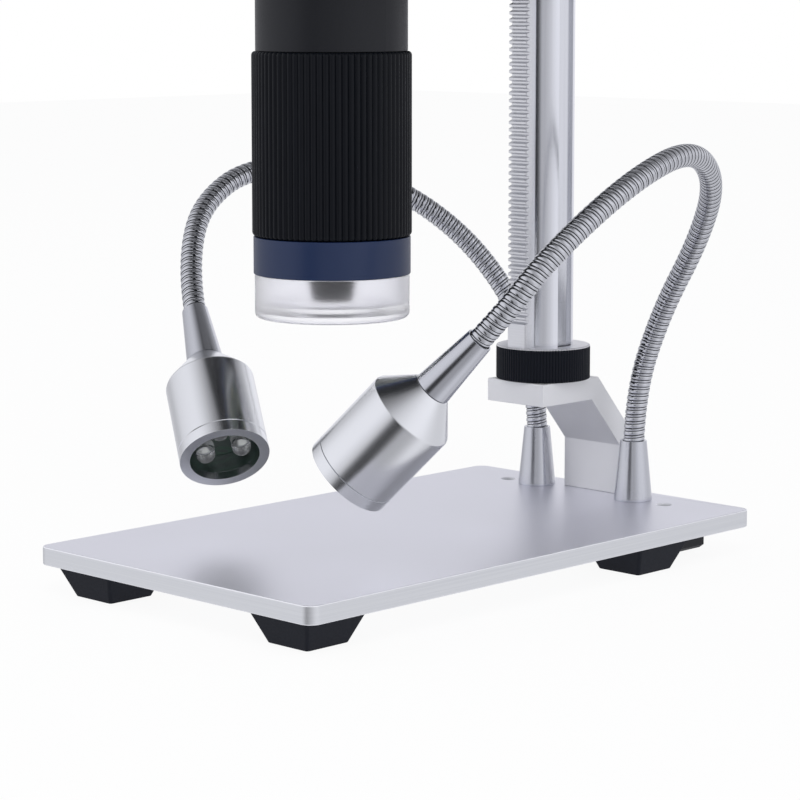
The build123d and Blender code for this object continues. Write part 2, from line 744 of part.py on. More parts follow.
def screen_front():
    outer = RectangleRounded(screen_width, screen_height, screen_corner_radius)
    inner = RectangleRounded(screen_width - 2 * screen_wall, screen_height - 2 * screen_wall,
                             screen_corner_radius - screen_wall)
    shell = upright(outer, screen_front_face, screen_split)
    front_rim = shell.faces().sort_by(Axis.Y)[0].edges()
    shell = fillet(front_rim, 1.5)
    shell -= upright(inner, inner_front, screen_split)
    for x, z in post_places():
        shell += rod(screen_post_radius, (x, inner_front - 0.5, z), screen_split - inner_front + 0.5, "Y")
    width, height = window_size
    shell -= upright(RectangleRounded(width, height, 1), screen_front_face, inner_front, window_shift)
    recess = RectangleRounded(width + 2 * glass_margin, height + 2 * glass_margin, 1.5)
    shell -= upright(recess, screen_front_face, screen_front_face + glass_thickness, window_shift)
    for z in button_heights:
        shell -= rod(button_radius + screw_gap, (button_x, screen_front_face, z), screen_face, "Y")
    for x, z in post_places():
        shell -= rod(screen_screw_radius + seat_gap, (x, inner_front + 2, z), screen_split - inner_front, "Y")
    return shell


def screen_back():
    outer = RectangleRounded(screen_width, screen_height, screen_corner_radius)
    inner = RectangleRounded(screen_width - 2 * screen_wall, screen_height - 2 * screen_wall,
                             screen_corner_radius - screen_wall)
    shell = upright(outer, screen_split, screen_back_face)
    shell = fillet(shell.faces().sort_by(Axis.Y)[-1].edges(), 3.0)
    shell -= upright(inner, screen_split, inner_back)
    for x, z in post_places():
        shell += rod(screen_post_radius, (x, screen_split, z), inner_back - screen_split + 0.5, "Y")
        shell -= rod(screen_screw_radius + screw_gap, (x, screen_split, z), screen_back_depth, "Y")
        shell -= rod(2.4, (x, inner_back - 2.4, z), screen_back_depth, "Y")
    web = block((-knuckle_width / 2, screen_back_face - 1, hinge_z - knuckle_radius),
                (knuckle_width / 2, hinge_y, hinge_z + knuckle_radius))
    shell += web + rod(knuckle_radius, (-knuckle_width / 2, hinge_y, hinge_z), knuckle_width, "X")
    shell -= rod(hinge_pin_radius + running_gap, (-knuckle_width / 2, hinge_y, hinge_z), knuckle_width, "X")
    return shell


def screen_glass():
    width, height = (size + 2 * glass_margin - 0.2 for size in window_size)
    outline = RectangleRounded(width, height, 1.4)
    return upright(outline, screen_front_face, screen_front_face + glass_thickness, window_shift)


def screen_panel():
    width, height = (size + 2 * panel_margin for size in window_size)
    return upright(Rectangle(width, height), inner_front, inner_front + panel_thickness, window_shift)


board_front = inner_back - 6.6
board_width = 112.0
board_depth = 60.0


def screen_board():
    """The main board, with its processor and memory, carried on four stand-offs of its own."""
    board = upright(Rectangle(board_width, board_depth), board_front, board_front + board_thickness)
    for x, z, size in ((-20, 8, 14), (14, -6, 10), (34, 12, 8)):
        board += upright(Rectangle(size, size), board_front - 1.2, board_front, x, screen_middle + z)
    for sx in (-1, 1):
        for sz in (-1, 1):
            place = (sx * (board_width / 2 - 4), board_front + board_thickness,
                     screen_middle + sz * (board_depth / 2 - 4))
            board += rod(2.2, place, inner_back - board_front - board_thickness, "Y")
    return board


def screen_battery():
    front = board_front + board_thickness + 0.4
    return upright(RectangleRounded(58, 38, 2), front, inner_back)


def button_board():
    """A strip behind the buttons, with one switch for each, on ribs that stand on the front shell."""
    half = button_pitch * 2 + flange_radius + 3.5
    front = inner_front + 2.0 + button_travel
    strip = upright(Rectangle(2 * flange_radius - 1.2, 2 * half), front, front + 1.2, button_x)
    for z in button_heights:
        strip += rod(1.6, (button_x, front - 1.1, z), 1.1, "Y")
    for end in (-1, 1):
        strip += block((button_x - 2, inner_front, screen_middle + end * (half - 1) - 1),
                       (button_x + 2, front, screen_middle + end * (half - 1) + 1))
    return strip


def screen_screws():
    made = []
    for x, z in post_places():
        seat = inner_back - 2.4
        screw = rod(2.2, (x, seat, z), 1.8, "Y")
        made.append(screw + rod(screen_screw_radius, (x, inner_front + 3, z), seat - inner_front - 3, "Y"))
    return made


def button(z):
    start = (button_x, screen_front_face - button_stand, z)
    cap = rod(button_radius, start, button_stand + screen_face + 0.4, "Y")
    cap = fillet(cap.faces().sort_by(Axis.Y)[0].edges(), 0.6)
    return cap + rod(flange_radius, (button_x, inner_front + 0.05, z), 0.8, "Y")


save("screen_front", lean_back * screen_front())
save("screen_back", lean_back * screen_back())
save("screen_glass", lean_back * screen_glass())
save("screen_panel", lean_back * screen_panel())
save("screen_board", lean_back * screen_board())
save("screen_battery", lean_back * screen_battery())
save("button_board", lean_back * button_board())
save("screen_screws", *[lean_back * screw for screw in screen_screws()])
for name, height in zip(button_names, button_heights):
    save(f"button_{name}", lean_back * button(height))


# ---- Under the plate: the wiring of the two lamps ----
cover_width = 92.0
cover_depth = 22.0
cover_height = 8.0
cover_wall = 1.6
cover_back = plate_back - 7.3
cover_front = cover_back - cover_depth
inlet_size = (9.0, 6.5, 3.6)
inlet_bottom = plate_bottom - 5.4


def wiring_cover():
    cover = block((-cover_width / 2, cover_front, plate_bottom - cover_height),
                  (cover_width / 2, cover_back, plate_bottom))
    cover = chamfer(cover.faces().sort_by(Axis.Z)[0].edges(), 1.0)
    cover -= block((-cover_width / 2 + cover_wall, cover_front + cover_wall,
                    plate_bottom - cover_height + cover_wall),
                   (cover_width / 2 - cover_wall, cover_back - cover_wall, plate_bottom))
    for side in (-1, 1):
        place = (side * cover_screw_x, socket_y, plate_bottom - cover_height + 0.5)
        cover += rod(4.2, place, cover_height - 0.5)
        cover -= rod(cover_screw_radius + screw_gap, place, cover_height)
        cover -= rod(3.9, (place[0], place[1], plate_bottom - cover_height), 2.6)
    width, depth, height = inlet_size
    cover -= block((-width / 2 - 0.1, cover_back - 4, inlet_bottom - 0.1),
                   (width / 2 + 0.1, cover_back, inlet_bottom + height + 0.1))
    return cover


def cover_screws():
    made = []
    for side in (-1, 1):
        seat = plate_bottom - cover_height + 2.6
        screw = rod(3.6, (side * cover_screw_x, socket_y, seat - 2), 2)
        made.append(screw + rod(cover_screw_radius - seat_gap, (side * cover_screw_x, socket_y, seat),
                                plate_bottom + cover_screw_bite - seat))
    return made


def driver_board():
    """The lamp driver, hung under the plate on two spacers between the sockets."""
    low, thickness = inlet_bottom + inlet_size[2], 1.0
    board = block((-13, cover_front + 2.4, low), (13, cover_back - 2.4, low + thickness))
    for side in (-1, 1):
        board += rod(1.5, (side * 10, cover_front + 5, low + thickness), plate_bottom - low - thickness)
    return board


def power_inlet():
    width, depth, height = inlet_size
    shell = block((-width / 2, cover_back - depth, inlet_bottom),
                  (width / 2, cover_back - 0.3, inlet_bottom + height))
    return shell - block((-width / 2 + 0.5, cover_back - depth + 1, inlet_bottom + 0.5),
                         (width / 2 - 0.5, cover_back, inlet_bottom + height - 0.5))


save("wiring_cover", wiring_cover())
save("base_screws", *foot_screws(), *bracket_screws(), *cover_screws())
save("driver_board", driver_board())
save("power_inlet", power_inlet())


# ---- Lamp sockets ----
socket_tail_length = plate_thickness + 3.4
nut_height = 2.6


def lamp_socket(x):
    """A turned taper with a threaded tail through the plate, bored for the hose."""
    cone = turned([(0, 0), (socket_bottom_radius, 0), (socket_bottom_radius, 1.0),
                   (socket_top_radius, socket_height), (0, socket_height)], Pos(x, socket_y, plate_top))
    cone += rod(socket_tail_radius, (x, socket_y, plate_top - socket_tail_length), socket_tail_length)
    cone -= rod(hose_radius + running_gap, (x, socket_y, plate_top + socket_height - hose_seat_depth),
                hose_seat_depth)
    return cone - rod(1.4, (x, socket_y, plate_top - socket_tail_length), socket_height)


def socket_nuts():
    made = []
    for x, y in socket_places:
        nut = Pos(x, y, plate_bottom - nut_height) * extrude(RegularPolygon(5.0, 6), nut_height)
        made.append(nut - rod(socket_tail_radius + seat_gap, (x, y, plate_bottom - nut_height), nut_height))
    return made


save("socket_nuts", *socket_nuts())
for side, (x, y) in zip(("left", "right"), socket_places):
    save(f"lamp_socket_{side}", lamp_socket(x))


# ---- Hoses: a route over each socket to the lamp's neck, in heights above the plate ----
lamp_seats = {"left": (-61.8, -33.7, 66.2), "right": (61.8, -33.5, 68.1)}
lamp_aims = {"left": (0.640, -0.368, -0.675), "right": (-0.647, -0.259, -0.717)}
hose_bends = {
    "left": [(-38.6, 77.5, 79.2), (-58.3, 58.3, 101.1), (-74.7, 32.6, 110.2), (-82.1, 6.7, 108.5),
             (-81.9, -9.6, 100.1), (-76.8, -21.2, 89.9)],
    "right": [(29.2, 89.6, 62.6), (46.5, 87.4, 88.3), (64.6, 72.5, 109.1), (77.9, 43.7, 121.1),
              (83.5, 8.9, 113.5), (77.2, -19.5, 93.4)],
}
hose_rise = {"left": 26.6, "right": 14.5}        # straight run above the socket
hose_run_in = 9.6                                # straight run into the neck


def above_plate(point):
    return Vector(point[0], point[1], point[2] + plate_top)


def hose_route(side):
    x = socket_places[0 if side == "left" else 1][0]
    aim = Vector(*lamp_aims[side]).normalized()
    end = above_plate(lamp_seats[side])
    start = Vector(x, socket_y, plate_top + socket_height)
    points = [start, start + Vector(0, 0, hose_rise[side])]
    points += [above_plate(p) for p in hose_bends[side]]
    return points + [end - aim * hose_run_in, end]


def bend_radii(points):
    """Each arc is as large as its two runs allow."""
    radii = []
    for before, corner, after in zip(points, points[1:], points[2:]):
        turn = radians((corner - before).get_angle(after - corner))
        radii.append(0.45 * min((corner - before).length, (after - corner).length) / tan(turn / 2))
    return radii


def hose(side):
    points = hose_route(side)
    radii = bend_radii(points)
    print(f"hose_{side}: bend radii", [round(r, 1) for r in radii])
    path = FilletPolyline(*points, radius=radii)
    section = Plane(origin=points[0], z_dir=(0, 0, 1)) * Circle(hose_radius)
    tube = sweep(section, path=path)
    print(f"hose_{side}: length", round(path.length, 1), "volume ratio",
          round(tube.volume / (pi * hose_radius ** 2 * path.length), 4))
    seated = hose_seat_depth - 0.5
    foot = Pos(points[0]) * rod(hose_radius, (0, 0, -seated), seated)
    return tube + foot + Pos(points[-1]) * Sphere(hose_radius)


# ---- Lamp heads, drawn along +Z from the mouth of the neck ----
neck_end = neck_length
shoulder = neck_end + lamp_cone_length
body_end = shoulder + lamp_body_length
lamp_end = body_end + lamp_ring_length
lamp_board_front = lamp_end - lamp_board_depth
lamp_board_thickness = 1.4
lamp_ledge = 0.8                     # step in the body's wall that the board sits on
diode_lead_radius = 0.8
diode_lead_length = 0.6


def lamp_neck():
    return turned([
        (neck_mouth_bore, 0), (neck_mouth_radius, 0), (neck_end_radius, neck_end), (1.4, neck_end),
        (1.4, hose_radius + 1.5), (neck_mouth_bore, hose_radius + 1.5)])


def lamp_body():
    inner = lamp_radius - lamp_wall
    return turned([
        (1.4, neck_end), (neck_end_radius, neck_end), (lamp_radius, shoulder), (lamp_radius, body_end),
        (inner, body_end), (inner, lamp_board_front - lamp_board_thickness),
        (inner - lamp_ledge, lamp_board_front - lamp_board_thickness),
        (inner - lamp_ledge, shoulder + 2), (5.0, neck_end + 4), (1.4, neck_end + 4)])


def lamp_ring():
    """The front ring, which seats on the body and turns a lip inwards round the diodes."""
    inner = lamp_radius - lamp_wall
    return turned([
        (inner, body_end), (lamp_radius, body_end), (lamp_radius, lamp_end - 0.3),
        (lamp_radius - 0.3, lamp_end), (lamp_ring_opening + 0.3, lamp_end),
        (lamp_ring_opening, lamp_end - 0.3), (lamp_ring_opening, body_end + 1.2), (inner, body_end + 1.2)])


def diode_places():
    return PolarLocations(diode_circle, 3, start_angle=diode_turn)


def lamp_board():
    """A round board with the solder pad and leads of each diode."""
    low = lamp_board_front - lamp_board_thickness
    board = rod(lamp_radius - lamp_wall - seat_gap, (0, 0, low), lamp_board_thickness)
    for place in diode_places():
        board += place * rod(diode_lead_radius, (0, 0, lamp_board_front), diode_lead_length)
    return board


def lamp_lenses():
    """Three moulded diodes: a flanged foot, a straight body and a domed tip."""
    low = lamp_board_front + diode_lead_length
    high = lamp_board_front + diode_length
    made = []
    for place in diode_places():
        body = rod(diode_radius, (0, 0, low), high - low - diode_radius)
        body += rod(diode_radius + diode_flange, (0, 0, low), 1.0)
        body += Pos(0, 0, high - diode_radius) * Sphere(diode_radius)
        made.append(place * body)
    return made


for side in ("left", "right"):
    aim = Vector(*lamp_aims[side])
    place = Plane(origin=above_plate(lamp_seats[side]), x_dir=aim.cross(Vector(0, 0, 1)), z_dir=aim).location
    save(f"hose_{side}", hose(side))
    save(f"lamp_neck_{side}", place * lamp_neck())
    save(f"lamp_body_{side}", place * lamp_body())
    save(f"lamp_ring_{side}", place * lamp_ring())
    save(f"lamp_board_{side}", place * lamp_board())
    save(f"lamp_lenses_{side}", *[place * part for part in lamp_lenses()])
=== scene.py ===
import bmesh
import bpy
from math import atan2, cos, pi, radians, sin, tan
from mathutils import Matrix, Vector


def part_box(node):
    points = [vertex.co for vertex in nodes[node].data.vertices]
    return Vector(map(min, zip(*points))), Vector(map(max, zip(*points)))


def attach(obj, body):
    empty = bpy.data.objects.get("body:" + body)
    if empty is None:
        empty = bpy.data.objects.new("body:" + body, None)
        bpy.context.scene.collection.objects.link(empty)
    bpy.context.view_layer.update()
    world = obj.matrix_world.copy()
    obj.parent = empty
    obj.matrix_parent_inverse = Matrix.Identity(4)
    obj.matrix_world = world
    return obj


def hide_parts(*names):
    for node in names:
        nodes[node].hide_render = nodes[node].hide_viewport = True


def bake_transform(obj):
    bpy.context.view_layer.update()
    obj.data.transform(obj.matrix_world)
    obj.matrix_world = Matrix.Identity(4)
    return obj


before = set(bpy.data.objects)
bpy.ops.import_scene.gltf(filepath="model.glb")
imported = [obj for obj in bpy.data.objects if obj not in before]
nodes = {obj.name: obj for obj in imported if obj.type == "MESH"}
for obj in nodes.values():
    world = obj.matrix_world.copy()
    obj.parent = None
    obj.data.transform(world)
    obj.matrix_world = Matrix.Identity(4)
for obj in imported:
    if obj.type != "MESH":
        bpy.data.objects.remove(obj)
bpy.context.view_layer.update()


# ---- Base plate ----
# A flat plate of clear anodised aluminium, cut and milled round its edge, with rounded corners.
# The lamp sockets stand on it at the back, beside two small holes for the cover's screws.
class Wire:
    """A socket of a shader. Ordinary maths on it adds the nodes that work the value out."""

    def __init__(self, tree, socket=None):
        self.tree = tree
        self.socket = socket

    def node(self, kind, settings=None, sockets=None, output=0):
        """Adds a node: its settings first, then the values or wires of its sockets."""
        made = self.tree.nodes.new(kind)
        for name, value in (settings or {}).items():
            if name == "stops":
                elements = made.color_ramp.elements
                while len(elements) < len(value):
                    elements.new(1.0)
                for element, (position, grey) in zip(elements, value):
                    element.position = position
                    element.color = (grey, grey, grey, 1)
            else:
                setattr(made, name, value)
        for name, value in (sockets or {}).items():
            if isinstance(value, Wire):
                self.tree.links.new(value.socket, made.inputs[name])
            else:
                made.inputs[name].default_value = value
        return Wire(self.tree, made.outputs[output])

    def maths(self, operation, first, second=0.0):
        return self.node("ShaderNodeMath", {"operation": operation}, {0: first, 1: second})

    def __add__(self, other):
        return self.maths("ADD", self, other)

    __radd__ = __add__

    def __sub__(self, other):
        return self.maths("SUBTRACT", self, other)

    def __rsub__(self, other):
        return self.maths("SUBTRACT", other, self)

    def __mul__(self, other):
        return self.maths("MULTIPLY", self, other)

    __rmul__ = __mul__

    def blend(self, low, high):
        """The colour low where this is 0, and high where it is 1."""
        settings = {"data_type": "RGBA"}
        return self.node("ShaderNodeMix", settings, {0: self, 6: low, 7: high}, output=2)

    def to(self, shader, name):
        self.tree.links.new(self.socket, shader.inputs[name])


def new_finish(name, **plain):
    """A material whose plain values are set on the surface shader's own sockets."""
    finish = bpy.data.materials.new(name)
    finish.use_nodes = True
    shader = finish.node_tree.nodes["Principled BSDF"]
    for socket, value in plain.items():
        shader.inputs[socket.replace("_", " ")].default_value = value
    return finish, shader, Wire(finish.node_tree)


def grain(wire, scale, stretch=(1, 1, 1), detail=2.0, roughness=0.5):
    """Fine noise over the piece, drawn out along an axis where its stretch is small."""
    place = wire.node("ShaderNodeTexCoord", output=3)
    drawn = wire.node("ShaderNodeVectorMath", {"operation": "MULTIPLY"}, {0: place, 1: stretch})
    sockets = {"Vector": drawn, "Scale": scale, "Detail": detail, "Roughness": roughness}
    return wire.node("ShaderNodeTexNoise", None, sockets)


def rough_up(wire, shader, height, distance, strength):
    """Feeds a height, as large as distance in metres, to the surface's normal."""
    sockets = {"Height": height, "Distance": distance, "Strength": strength}
    wire.node("ShaderNodeBump", None, sockets).to(shader, "Normal")


def add(operator, name, **placing):
    """Adds a primitive with nothing else selected."""
    bpy.ops.object.select_all(action="DESELECT")
    operator(**placing)
    piece = bpy.context.object
    piece.name = name
    bpy.ops.object.transform_apply(location=True, rotation=True, scale=True)
    return piece


def only(piece):
    bpy.ops.object.select_all(action="DESELECT")
    piece.select_set(True)
    bpy.context.view_layer.objects.active = piece


def pick(piece, kind, test):
    """Selects the vertices, edges or faces that pass the test, in edit mode."""
    bpy.ops.mesh.select_mode(type=kind)
    bpy.ops.mesh.select_all(action="DESELECT")
    mesh = bmesh.from_edit_mesh(piece.data)
    parts = {"VERT": mesh.verts, "EDGE": mesh.edges, "FACE": mesh.faces}[kind]
    for part in parts:
        part.select_set(bool(test(part)))
    mesh.select_flush_mode()
    bmesh.update_edit_mesh(piece.data)


def is_upright(edge):
    return abs(edge.verts[0].co.z - edge.verts[1].co.z) > 1e-5 and (
        (edge.verts[0].co - edge.verts[1].co).xy.length < 1e-5)


def apply_modifiers(piece):
    only(piece)
    for modifier in list(piece.modifiers):
        bpy.ops.object.modifier_apply(modifier=modifier.name)


def soften(piece, width, segments, angle=30):
    """Rounds every edge sharper than the angle, and shades the piece smooth with its flats flat."""
    bevel = piece.modifiers.new("edge", "BEVEL")
    bevel.width = width
    bevel.segments = segments
    bevel.limit_method = "ANGLE"
    bevel.angle_limit = radians(angle)
    bevel.use_clamp_overlap = True
    apply_modifiers(piece)
    bpy.ops.object.shade_smooth_by_angle(angle=radians(32))
    flats = piece.modifiers.new("flats", "WEIGHTED_NORMAL")
    flats.keep_sharp = True
    apply_modifiers(piece)


def cut(piece, cutter):
    """Takes the cutter's shape out of the piece, and removes the cutter."""
    boolean = piece.modifiers.new("cut", "BOOLEAN")
    boolean.operation = "DIFFERENCE"
    boolean.object = cutter
    apply_modifiers(piece)
    bpy.data.objects.remove(cutter)


def bore(piece, radius, start, end, sides=64):
    """Cuts a round hole from one point to another."""
    start, end = Vector(start), Vector(end)
    turn = (end - start).to_track_quat("Z", "Y").to_euler()
    cut(piece, add(bpy.ops.mesh.primitive_cylinder_add, "cutter", vertices=sides, radius=radius,
                   depth=(end - start).length, location=(start + end) / 2, rotation=turn))


def fit(piece, body, finish, slot, *replaced):
    """Gives a finished piece its material and puts it on its body, in place of the CAD nodes."""
    piece.data.materials.clear()
    piece.data.materials.append(finish)
    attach(piece, body)
    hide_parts(*replaced)


def dress(finish, *names):
    """Gives CAD nodes a material."""
    for name in names:
        nodes[name].data.materials.clear()
        nodes[name].data.materials.append(finish)


plate_low, plate_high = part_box("base_plate")
plate_size = plate_high - plate_low
plate_corner = 0.004
plate = add(bpy.ops.mesh.primitive_cube_add, "plate", size=1, location=(plate_low + plate_high) / 2,
            scale=plate_size)
bpy.ops.object.mode_set(mode="EDIT")
pick(plate, "EDGE", is_upright)
bpy.ops.mesh.bevel(offset=plate_corner, segments=10, affect="EDGES")
bpy.ops.object.mode_set(mode="OBJECT")
socket_boxes = {side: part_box(f"lamp_socket_{side}") for side in ("left", "right")}
socket_y = (socket_boxes["left"][0].y + socket_boxes["left"][1].y) / 2
cover_screw_x = 0.0345
cover_hole_radius, cover_hole_depth = 0.0024, 0.0022
for side in (-1, 1):
    bore(plate, cover_hole_radius, (side * cover_screw_x, socket_y, plate_high.z - cover_hole_depth),
         (side * cover_screw_x, socket_y, plate_high.z + 0.001))
soften(plate, 0.0004, 3)
anodised, shader, wire = new_finish("anodised_plate", Metallic=1.0)
speckle = grain(wire, 2600, detail=1.0)
cloud = grain(wire, 28, detail=3.0)
normal = wire.node("ShaderNodeNewGeometry", output=1)
up = wire.node("ShaderNodeSeparateXYZ", None, {0: normal}, output=2)
edge = 1 - wire.maths("ABSOLUTE", up)
milling = grain(wire, 330, stretch=(0.02, 0.02, 6.0), detail=3.0, roughness=0.7)
top = cloud.blend((0.915, 0.915, 0.985, 1), (0.945, 0.945, 1.0, 1))
side_cut = milling.blend((0.72, 0.735, 0.755, 1), (0.88, 0.89, 0.90, 1))
edge.blend(top, side_cut).to(shader, "Base Color")
# The band between top and side is made non-metallic, so the rounded edge shows a painted highlight line.
(1 - 2 * wire.maths("PINGPONG", edge, 0.5)).to(shader, "Metallic")
(0.32 + 0.05 * cloud + 0.08 * speckle + 0.06 * edge).to(shader, "Roughness")
rough_up(wire, shader, speckle * 0.22 + edge * milling, 0.00006, 0.7)
fit(plate, "stand", anodised, "anodised_plate", "base_plate")


# ---- Feet ----
# Four moulded rubber blocks that narrow downwards, each with a recess for the head of its screw.
# They stand in from the plate's corners, the rear pair in front of the wiring cover.
feet_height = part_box("feet")[1].z
foot_top, foot_bottom = 0.0248, 0.0165
foot_corner, foot_recess_radius, foot_recess_depth = 0.001, 0.0031, 0.0068
front_feet = (0.0428, -0.0843)
rear_feet = (0.0454, 0.0579)
blocks = []
for x, y in (front_feet, rear_feet):
    for side in (-1, 1):
        block = add(bpy.ops.mesh.primitive_cube_add, "feet", size=1,
                    location=(side * x, y, feet_height / 2), scale=(foot_top, foot_top, feet_height))
        bpy.ops.object.mode_set(mode="EDIT")
        pick(block, "FACE", lambda face: face.normal.z < -0.5)
        bpy.ops.transform.resize(value=(foot_bottom / foot_top, foot_bottom / foot_top, 1))
        pick(block, "EDGE", lambda edge: abs(edge.verts[0].co.z - edge.verts[1].co.z) > 1e-4)
        bpy.ops.mesh.bevel(offset=foot_corner, segments=4, affect="EDGES")
        bpy.ops.object.mode_set(mode="OBJECT")
        bore(block, foot_recess_radius, (side * x, y, -0.001), (side * x, y, foot_recess_depth), 32)
        blocks.append(block)
only(blocks[0])
for block in blocks:
    block.select_set(True)
bpy.ops.object.join()
feet = bpy.context.object
feet.name = "rubber_feet"
soften(feet, 0.00018, 2)
rubber, shader, wire = new_finish("foot_rubber", Specular_IOR_Level=0.2)
grip_noise = grain(wire, 1500, detail=3.0)
grain(wire, 40).blend((0.0060, 0.0080, 0.0140, 1), (0.0095, 0.0115, 0.0185, 1)).to(shader, "Base Color")
(0.50 + 0.2 * grip_noise).to(shader, "Roughness")
rough_up(wire, shader, grip_noise, 0.00004, 0.5)
fit(feet, "stand", rubber, "foot_rubber", "feet")


# ---- Wiring cover and what is under the plate ----
# A shallow moulded tray under the plate's back edge hides the lamps' driver and the power inlet.
# Steel screws hold it, the feet and the bracket, and a nut holds each lamp socket from below.
black_plastic, shader, wire = new_finish("black_plastic", Specular_IOR_Level=0.3)
moulded = grain(wire, 2200, detail=2.0)
grain(wire, 30).blend((0.0095, 0.0100, 0.0125, 1), (0.0150, 0.0158, 0.0190, 1)).to(shader, "Base Color")
(0.40 + 0.22 * moulded).to(shader, "Roughness")
rough_up(wire, shader, moulded, 0.00003, 0.5)
dress(black_plastic, "wiring_cover")

steel, shader, wire = new_finish("screw_steel", Metallic=1.0)
worn = grain(wire, 700, detail=4.0)
worn.blend((0.40, 0.40, 0.41, 1), (0.58, 0.58, 0.59, 1)).to(shader, "Base Color")
(0.24 + 0.2 * worn).to(shader, "Roughness")
rough_up(wire, shader, worn, 0.00002, 0.4)
dress(steel, "base_screws", "socket_nuts", "power_inlet", "column_bolt", "arm_screws", "hinge_pin",
      "screen_screws")

board_green, shader, wire = new_finish("board_green", Specular_IOR_Level=0.5)
tracks = grain(wire, 420, stretch=(1, 0.25, 1), detail=0.0)
tracks = wire.node("ShaderNodeValToRGB", {"stops": [(0.47, 0.0), (0.50, 1.0)]}, {0: tracks})
tracks.blend((0.016, 0.044, 0.030, 1), (0.034, 0.084, 0.054, 1)).to(shader, "Base Color")
(0.30 + 0.15 * tracks).to(shader, "Roughness")
rough_up(wire, shader, tracks, 0.00003, 0.5)
dress(board_green, "driver_board", "nose_board", "sensor_board", "screen_board", "button_board",
      "lamp_board_left", "lamp_board_right")


# ---- Post bracket ----
# A thick strip of bead-blasted aluminium, bent twice, that carries the column behind the plate's
# middle. Two screws hold its foot from below, and one bolt goes up through its shelf.
bracket_low, bracket_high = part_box("post_bracket")
bracket_thickness = 0.0074
bracket_knee = plate_high.z + 0.0168
bracket_slope = 0.0146
shelf_under = bracket_high.z - bracket_thickness
knee_y = bracket_high.y - bracket_thickness
lean = atan2(shelf_under - bracket_knee, bracket_slope)
knee_outside = bracket_knee + bracket_thickness * tan((pi / 2 - lean) / 2)
bend_outside = knee_y - bracket_slope + bracket_thickness * tan(lean / 2)
bracket = add(bpy.ops.mesh.primitive_cube_add, "bracket", size=1,
              location=(0, (knee_y + bracket_high.y) / 2, (plate_high.z + bracket_knee) / 2),
              scale=(bracket_high.x - bracket_low.x, bracket_thickness, bracket_knee - plate_high.z))
bpy.ops.object.mode_set(mode="EDIT")


def slide_edge(old, new):
    """Moves the strip's edge across X from one (y, z) place to another."""
    pick(bracket, "VERT", lambda v: abs(v.co.y - old[0]) < 1e-5 and abs(v.co.z - old[1]) < 1e-5)
    bpy.ops.transform.translate(value=(0, new[0] - old[0], new[1] - old[1]))


slide_edge((bracket_high.y, bracket_knee), (bracket_high.y, knee_outside))
inside, outside = (knee_y, bracket_knee), (bracket_high.y, knee_outside)
well_above = 0.2
for next_inside, next_outside in (
        ((knee_y - bracket_slope, shelf_under), (bend_outside, bracket_high.z)),
        ((bracket_low.y, shelf_under), (bracket_low.y, bracket_high.z))):
    corners = [Vector(inside), Vector(outside)]
    pick(bracket, "FACE", lambda face: len([v for v in face.verts if min(
        (Vector((v.co.y, v.co.z)) - corner).length for corner in corners) < 1e-5]) == 4)
    bpy.ops.mesh.extrude_region_move(TRANSFORM_OT_translate={"value": (0, 0, well_above)})
    slide_edge((inside[0], inside[1] + well_above), next_inside)
    slide_edge((outside[0], outside[1] + well_above), next_outside)
    inside, outside = next_inside, next_outside
bpy.ops.object.mode_set(mode="OBJECT")
column_low, column_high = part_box("column")
column_middle = (column_low + column_high) / 2
bolt_hole_radius, bolt_head_radius, bolt_head_depth = 0.0031, 0.00515, 0.0043
below_shelf = (0, column_middle.y, shelf_under - 0.001)
bore(bracket, bolt_hole_radius, below_shelf, (0, column_middle.y, bracket_high.z + 0.001))
bore(bracket, bolt_head_radius, below_shelf, (0, column_middle.y, shelf_under + bolt_head_depth))
soften(bracket, 0.0003, 2)
blasted, shader, wire = new_finish("bracket_metal", Metallic=0.6)
beads = grain(wire, 3400, detail=1.5)
grain(wire, 60).blend((0.84, 0.842, 0.86, 1), (0.90, 0.902, 0.92, 1)).to(shader, "Base Color")
(0.46 + 0.14 * beads).to(shader, "Roughness")
rough_up(wire, shader, beads, 0.00004, 0.6)
fit(bracket, "stand", blasted, "bracket_metal", "post_bracket")


# ---- Column, rack, collar and cap ----
# A drawn aluminium bar with a keyway in front, where the rack is pressed in, and a groove along
# each side. A black ribbed collar with a bare turned face closes its foot, a disc its top.
groove_depth, groove_width = 0.0016, 0.0065
slot_fit, past_the_ends = 0.00004, 0.3
rack_low, rack_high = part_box("rack")
collar_low, collar_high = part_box("column_collar")
column_radius = (column_high.x - column_low.x) / 2
bar = add(bpy.ops.mesh.primitive_cylinder_add, "column_bar", vertices=160, radius=column_radius,
          depth=column_high.z - column_low.z, location=column_middle)
for side in (-1, 1):
    cut(bar, add(bpy.ops.mesh.primitive_cube_add, "cutter", size=1,
                 location=(side * column_radius, column_middle.y, column_middle.z),
                 scale=(2 * groove_depth, groove_width, past_the_ends)))
cut(bar, add(bpy.ops.mesh.primitive_cube_add, "cutter", size=1,
             location=(0, (rack_high.y + column_low.y) / 2 - 0.002, column_middle.z),
             scale=(rack_high.x - rack_low.x + slot_fit, rack_high.y - column_low.y + 0.004,
                    past_the_ends)))
soften(bar, 0.00018, 2, 25)
drawn, shader, wire = new_finish("column_metal", Metallic=1.0)
lines = grain(wire, 1300, stretch=(1, 1, 0.006), detail=3.0, roughness=0.6)
pits = grain(wire, 2600, detail=2.0)
lines.blend((0.80, 0.81, 0.855, 1), (0.88, 0.89, 0.93, 1)).to(shader, "Base Color")
(0.14 + 0.08 * lines + 0.06 * pits).to(shader, "Roughness")
rough_up(wire, shader, lines * 0.5 + pits * 0.5, 0.00002, 0.35)
fit(bar, "stand", drawn, "column_metal", "column")

